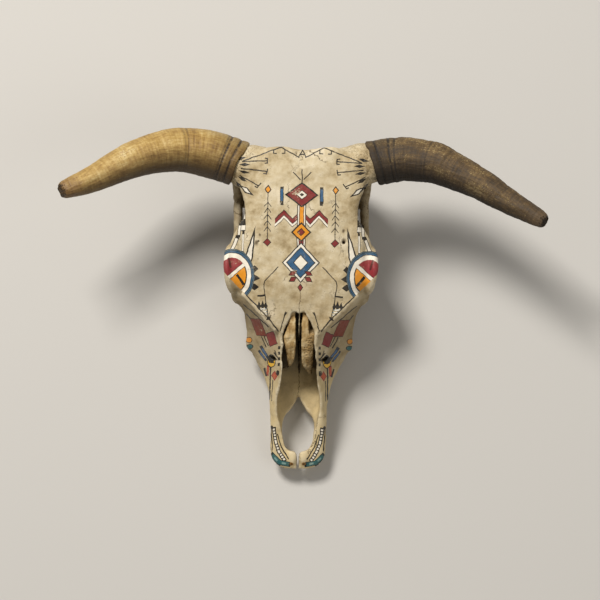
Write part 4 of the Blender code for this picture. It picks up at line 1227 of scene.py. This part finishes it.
def horn_sheath(side, name):
    """One hollow sheath: socket, rim, banded outside and fibrous blunt end, as one closed skin."""
    stops, centres, ways, sizes = horn_profile(side)
    reach = stops[-1]
    up = Vector((0.0, 0.0, 1.0))
    bm = bmesh.new()
    bands = []
    depth = CORE_LENGTH + 3
    for inner in np.linspace(depth, 0, 14):
        bands.append((inner, "socket"))
    bands += [(stop, "outside") for stop in stops]
    bands += [(reach, share) for share in (0.86, 0.66, 0.42, 0.18)]
    seed = 11.0 if side < 0 else 37.0
    rings, notes, depths = [], [], []
    for stop, kind in bands:
        centre = Vector([np.interp(stop, stops, centres[:, k]) for k in range(3)])
        ahead = Vector([np.interp(stop, stops, ways[:, k]) for k in range(3)]).normalized()
        across = ahead.cross(up).normalized()
        lift = across.cross(ahead)
        size = float(np.interp(stop, stops, sizes))
        ring = []
        for k in range(HORN_SIDES):
            angle = 2 * math.pi * k / HORN_SIDES
            c, s = math.cos(angle), math.sin(angle)
            radius = sheath_surface(side, stop, reach, size, angle, seed)
            wear = RIM_WEAR * max(0.0, noise.noise(Vector((c * 2.4 + seed, s * 2.4, 1.0))) + 0.15)
            slide = max(0.0, 1 - stop / 12) * wear
            slant = RIM_SLANT[side][0] * max(0.0, c) - RIM_SLANT[side][1] * max(0.0, -c)
            slide -= slant * max(0.0, 1 - stop / SLANT_REACH) ** 1.3
            if kind == "socket":
                radius = sizes[0] - SHEATH_WALL - 7.5 * stop / depth
            elif kind != "outside":
                radius *= kind
                fray = noise.noise(Vector((c * radius / 1.8 + seed, s * radius / 1.8, 8.0)))
                slide = 1.6 * (1 - kind) + 2.6 * fray - 1.6
            if kind == "outside" and stop == 0:
                radius -= 1.2
            place = centre + ahead * slide + (across * c + lift * s) * radius
            ring.append(place)
            notes.append((stop, radius * c, radius * s))
            depths.append(groove_share(side, stop) if kind == "outside" else 0.0)
        rings.append(ring)
    skin(bm, rings)
    made = to_object(bm, name)
    keep_layer(made.data, "horn_mm", notes)
    keep_layer(made.data, "groove", depths)
    return made


def horn_finish(name, side, tones, dirt_and_shade, flakes, gloss):
    """Horn: keratin, waxy where hands have rubbed it and dry elsewhere, with fibres that run lengthwise,
    dark growth grooves, painted shade on its underside and in its hollows, flaked patches and a brown frayed
    tip."""
    made, tree, shader, horn_mm, groove, recess = new_finish(name, "horn_mm", "groove", "recess")
    parts = add_node(tree, "SeparateXYZ", [horn_mm])
    stretched = add_node(tree, "VectorMath", [horn_mm, (0.07, 1.0, 1.0)], operation="MULTIPLY")
    flowing = add_node(tree, "VectorMath", [horn_mm, (0.45, 1.0, 1.0)], operation="MULTIPLY")
    # Real fibres are 0.2 mm apart, drawn coarser so that they show.
    fibres = add_node(
        tree, "TexNoise", {"Vector": stretched, "Scale": 1 / 2.0, "Detail": 3.0, "Roughness": 0.7}
    )
    patches = add_node(
        tree, "TexNoise", {"Vector": flowing, "Scale": 1 / 24.0, "Detail": 4.0, "Roughness": 0.6}
    )
    specks = add_node(
        tree, "TexNoise", {"Vector": flowing, "Scale": 1 / 3.6, "Detail": 3.0, "Roughness": 0.7}
    )
    crosswise = add_node(tree, "VectorMath", [horn_mm, (1.0, 0.09, 0.09)], operation="MULTIPLY")
    wrinkles = add_node(
        tree, "TexNoise", {"Vector": crosswise, "Scale": 1 / 3.0, "Detail": 3.0, "Roughness": 0.6}
    )
    crumbs = add_node(
        tree, "TexNoise", {"Vector": horn_mm, "Scale": 1 / 2.4, "Detail": 2.0, "Roughness": 0.6}
    )
    tone = add_node(tree, "Math", [patches, 0.42], operation="MULTIPLY")
    tone = add_node(tree, "Math", [fibres, 0.18, tone], operation="MULTIPLY_ADD")
    tone = add_node(tree, "Math", [wrinkles, 0.2, tone], operation="MULTIPLY_ADD")
    tone = add_node(tree, "Math", [specks, 0.2, tone], operation="MULTIPLY_ADD")
    colour = add_node(tree, "ValToRGB", [tone])
    colour_stops(colour, tones)
    # Painted shade: the side of the horn toward the muzzle, its underside, darkens in the first dirt colour.
    under = add_node(tree, "MapRange", [parts.outputs[1], -6.0 * side, 24.0 * side, 0.0, 0.93])
    reach = horn_profile(side)[0][-1]
    tip = add_node(tree, "MapRange", [parts.outputs[0], reach - 34.0, reach + 2.0, 0.0, 0.75])
    root = add_node(tree, "MapRange", [parts.outputs[0], 62.0, 12.0, 0.0, 0.5])
    flake = add_node(tree, "Math", [crumbs, 0.55], operation="MULTIPLY")
    flake = add_node(tree, "Math", [patches, 0.45, flake], operation="MULTIPLY_ADD")
    flake = add_node(tree, "MapRange", [flake, flakes[0], flakes[0] + 0.03, 0.0, flakes[1]])
    lines = add_node(tree, "Math", [specks, 1.6, -0.35], operation="MULTIPLY_ADD")
    lines = add_node(tree, "Math", [groove, lines], operation="MULTIPLY")
    lines = add_node(tree, "MapRange", [lines, 0.04, 0.34, 0.0, 0.95])
    frayed = add_node(tree, "Math", [crumbs, 26.0, parts.outputs[0]], operation="MULTIPLY_ADD")
    frayed = add_node(tree, "MapRange", [frayed, reach + 10.0, reach + 13.0, 0.0, 0.85])
    # Painted shade in the closed-in hollows of the sheath, such as inside its socket.
    hollow = add_node(tree, "MapRange", [recess, 0.3, 0.9, 0.0, 0.85])
    washes = (
        (flake, flakes[2]), (root, dirt_and_shade[0]), (under, dirt_and_shade[0]), (tip, dirt_and_shade[1]), (frayed, dirt_and_shade[2]),
        (lines, dirt_and_shade[2]), (hollow, "1F150B"),
    )
    for share, code in washes:
        colour = add_node(tree, "Mix", {0: share, 6: colour, 7: hex_linear(code)}, data_type="RGBA")
    shine = add_node(tree, "MapRange", [specks, 0.0, 1.0, gloss, gloss + 0.3])
    height = add_node(tree, "Math", [specks, 0.7], operation="MULTIPLY")
    height = add_node(tree, "Math", [wrinkles, 0.8, height], operation="MULTIPLY_ADD")
    height = add_node(tree, "Math", [frayed, -2.0, height], operation="MULTIPLY_ADD")
    height = add_node(tree, "Math", [fibres, height], operation="ADD")
    height = add_node(tree, "Math", [flake, -0.8, height], operation="MULTIPLY_ADD")
    relief = add_node(tree, "Bump", {"Strength": 0.8, "Distance": 0.0011, "Height": height})
    fill(tree, shader, {"Base Color": colour, "Roughness": shine, "Normal": relief})
    return made


HONEY_TONES = [(0.38, "7A5C2C"), (0.45, "9C7C42"), (0.51, "B39454"), (0.57, "C6AC70"), (0.64, "D6C493")]
# The first dirt colour is also the painted shade on each horn's underside.
HONEY_DIRT_AND_SHADE, HONEY_FLAKES = ("3C2A12", "6E4E2C", "24170A"), (0.6, 0.5, "9A6838")
honey_horn = horn_finish("honey_horn", -1, HONEY_TONES, HONEY_DIRT_AND_SHADE, HONEY_FLAKES, 0.36)
DARK_TONES = [(0.38, "2E2315"), (0.45, "46361F"), (0.51, "5C482A"), (0.57, "755E39"), (0.64, "8C764C")]
DARK_DIRT_AND_SHADE, DARK_FLAKES = ("1E150B", "63513A", "150E07"), (0.56, 0.7, "A48E60")
dark_horn = horn_finish("dark_horn", 1, DARK_TONES, DARK_DIRT_AND_SHADE, DARK_FLAKES, 0.5)


for side, name, node, finish, slot in (
    (-1, "left_horn_sheath", "horn_sheath_left", honey_horn, "pale_horn"),
    (1, "right_horn_sheath", "horn_sheath_right", dark_horn, "dark_horn"),
):
    sheath = horn_sheath(side, name)
    note_hollows(sheath.data, 45)
    lay_on_table(sheath)
    sheath.data.materials.append(finish)
    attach(sheath, "root")
    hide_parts(node)


# The cheek teeth. Six stand in each upper jaw, tall crowns of yellowed enamel with brown stain and
# tartar in their grooves, worn flat on the plane they lie on. Each sits loose in its own socket.
TEETH = [
    ("premolar_2", 14.5, 14.0, 42.5),
    ("premolar_3", 17.0, 17.0, 46.5),
    ("premolar_4", 17.0, 19.5, 49.5),
    ("molar_1", 22.0, 22.0, 51.5),
    ("molar_2", 26.0, 23.0, 53.0),
    ("molar_3", 28.0, 22.0, 53.5),
]
TOOTH_ROW_START = 143.0
TOOTH_SPACE = 0.9
ROOT_DEPTH = 12.0
GUM_FRONT = -119.0
GUM_BACK = -133.0
TOOTH_SIDES = 72
ENAMEL_STEPS = ((1.0, 0.5), (0.97, 0.0), (0.9, 0.1), (0.85, 1.1), (0.62, 1.3), (0.5, 0.3), (0.42, 0.3))
ENAMEL_STEPS += ((0.34, 1.8), (0.12, 2.0))  # share of the outline and height above the table


def gum_z(y):
    """Height of the gum line in the face frame, lower towards the last molar."""
    share = (y - TOOTH_ROW_START) / (270.0 - TOOTH_ROW_START)
    return GUM_FRONT + (GUM_BACK - GUM_FRONT) * min(max(share, 0.0), 1.0) ** 0.7


def crown_ring(side, x, y, length, width, lobes, height, size, seed):
    """A crown's outline with its lobes, and with the upright ribs of its cheek side."""
    ring = []
    for k in range(TOOTH_SIDES):
        angle = 2 * math.pi * k / TOOTH_SIDES
        c, s = math.cos(angle), math.sin(angle)
        along = math.copysign(abs(s) ** 0.62, s) * length / 2 * size
        across = math.copysign(abs(c) ** 0.66, c) * width / 2 * size
        pinch = 0.1 * (1 + math.cos(2 * math.pi * along / length)) if lobes == 2 else 0.0
        if c * side > 0:
            pinch = 0.055 * (1 - math.cos(2 * math.pi * lobes * along / length))
        across *= 1.0 - pinch
        rough = noise.noise(Vector((c * 2 + seed, s * 2, (height or 0.0) / 9))) * 0.35
        place = Vector((side * x + across - rough * c, y + along - rough * s, 0.0))
        place.z = bite_z(place.y) if height is None else height
        ring.append(place)
    return ring


def add_tooth(bm, side, name, x, y, length, width):
    """One tooth from its root in the jaw down to the enamel ridges of its worn face."""
    lobes = 2 if name.startswith("molar") else 1
    top = gum_z(y) + ROOT_DEPTH
    low = bite_z(y)
    seed = y * 0.37 + side
    rings = []
    for share in np.linspace(0, 0.94, 12):
        height = top + (low - top) * share
        size = 0.84 + 0.15 * min(share * 2.2, 1.0)
        rings.append(crown_ring(side, x, y, length, width, lobes, height, size, seed))
    for size, rise in ENAMEL_STEPS:
        ring = crown_ring(side, x, y, length, width, lobes, None, size, seed)
        rings.append([p + Vector((0, 0, rise)) for p in ring])
    skin(bm, rings)


# What a cheek tooth looks like: glossy ivory enamel, brown with old plant stain toward the gum and in every
# fold, where painted shade darkens it too, and streaked lengthwise.
stained_enamel, tree, shader, face_mm, recess = new_finish("stained_enamel", "face_mm", "recess")
upright = add_node(tree, "VectorMath", [face_mm, (1.0, 1.0, 0.2)], operation="MULTIPLY")
streaks = add_node(tree, "TexNoise", {"Vector": upright, "Scale": 1 / 3.0, "Detail": 3.0, "Roughness": 0.6})
ivory = add_node(tree, "ValToRGB", [streaks])
colour_stops(ivory, [(0.34, "9A7B4C"), (0.48, "C6AD80"), (0.62, "DCCBA6")])
# Tartar and painted shade: the enamel browns where the tooth row closes it in.
tartar_and_shade = add_node(tree, "Math", [streaks, 0.3, -0.15], operation="MULTIPLY_ADD")
tartar_and_shade = add_node(tree, "Math", [recess, tartar_and_shade], operation="ADD")
ivory = stain(tree, ivory, "3E2C1A", tartar_and_shade, 0.15, 0.6, 0.9)
relief = add_node(tree, "Bump", {"Strength": 0.4, "Distance": 0.0004, "Height": streaks})
fill(tree, shader, {"Base Color": ivory, "Roughness": 0.32, "Normal": relief})


for side, word in ((-1, "left"), (1, "right")):
    row = bmesh.new()
    y = TOOTH_ROW_START
    for name, length, width, x in TEETH:
        add_tooth(row, side, name, x, y + length / 2, length, width)
        y += length + TOOTH_SPACE
    teeth = to_object(row, f"cheek_teeth_{word}")
    note_hollows(teeth.data, 20)
    lay_on_table(teeth)
    teeth.data.materials.append(stained_enamel)
    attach(teeth, "root")
    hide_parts(*[f"{name}_{word}" for name, _, _, _ in TEETH])

low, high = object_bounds()
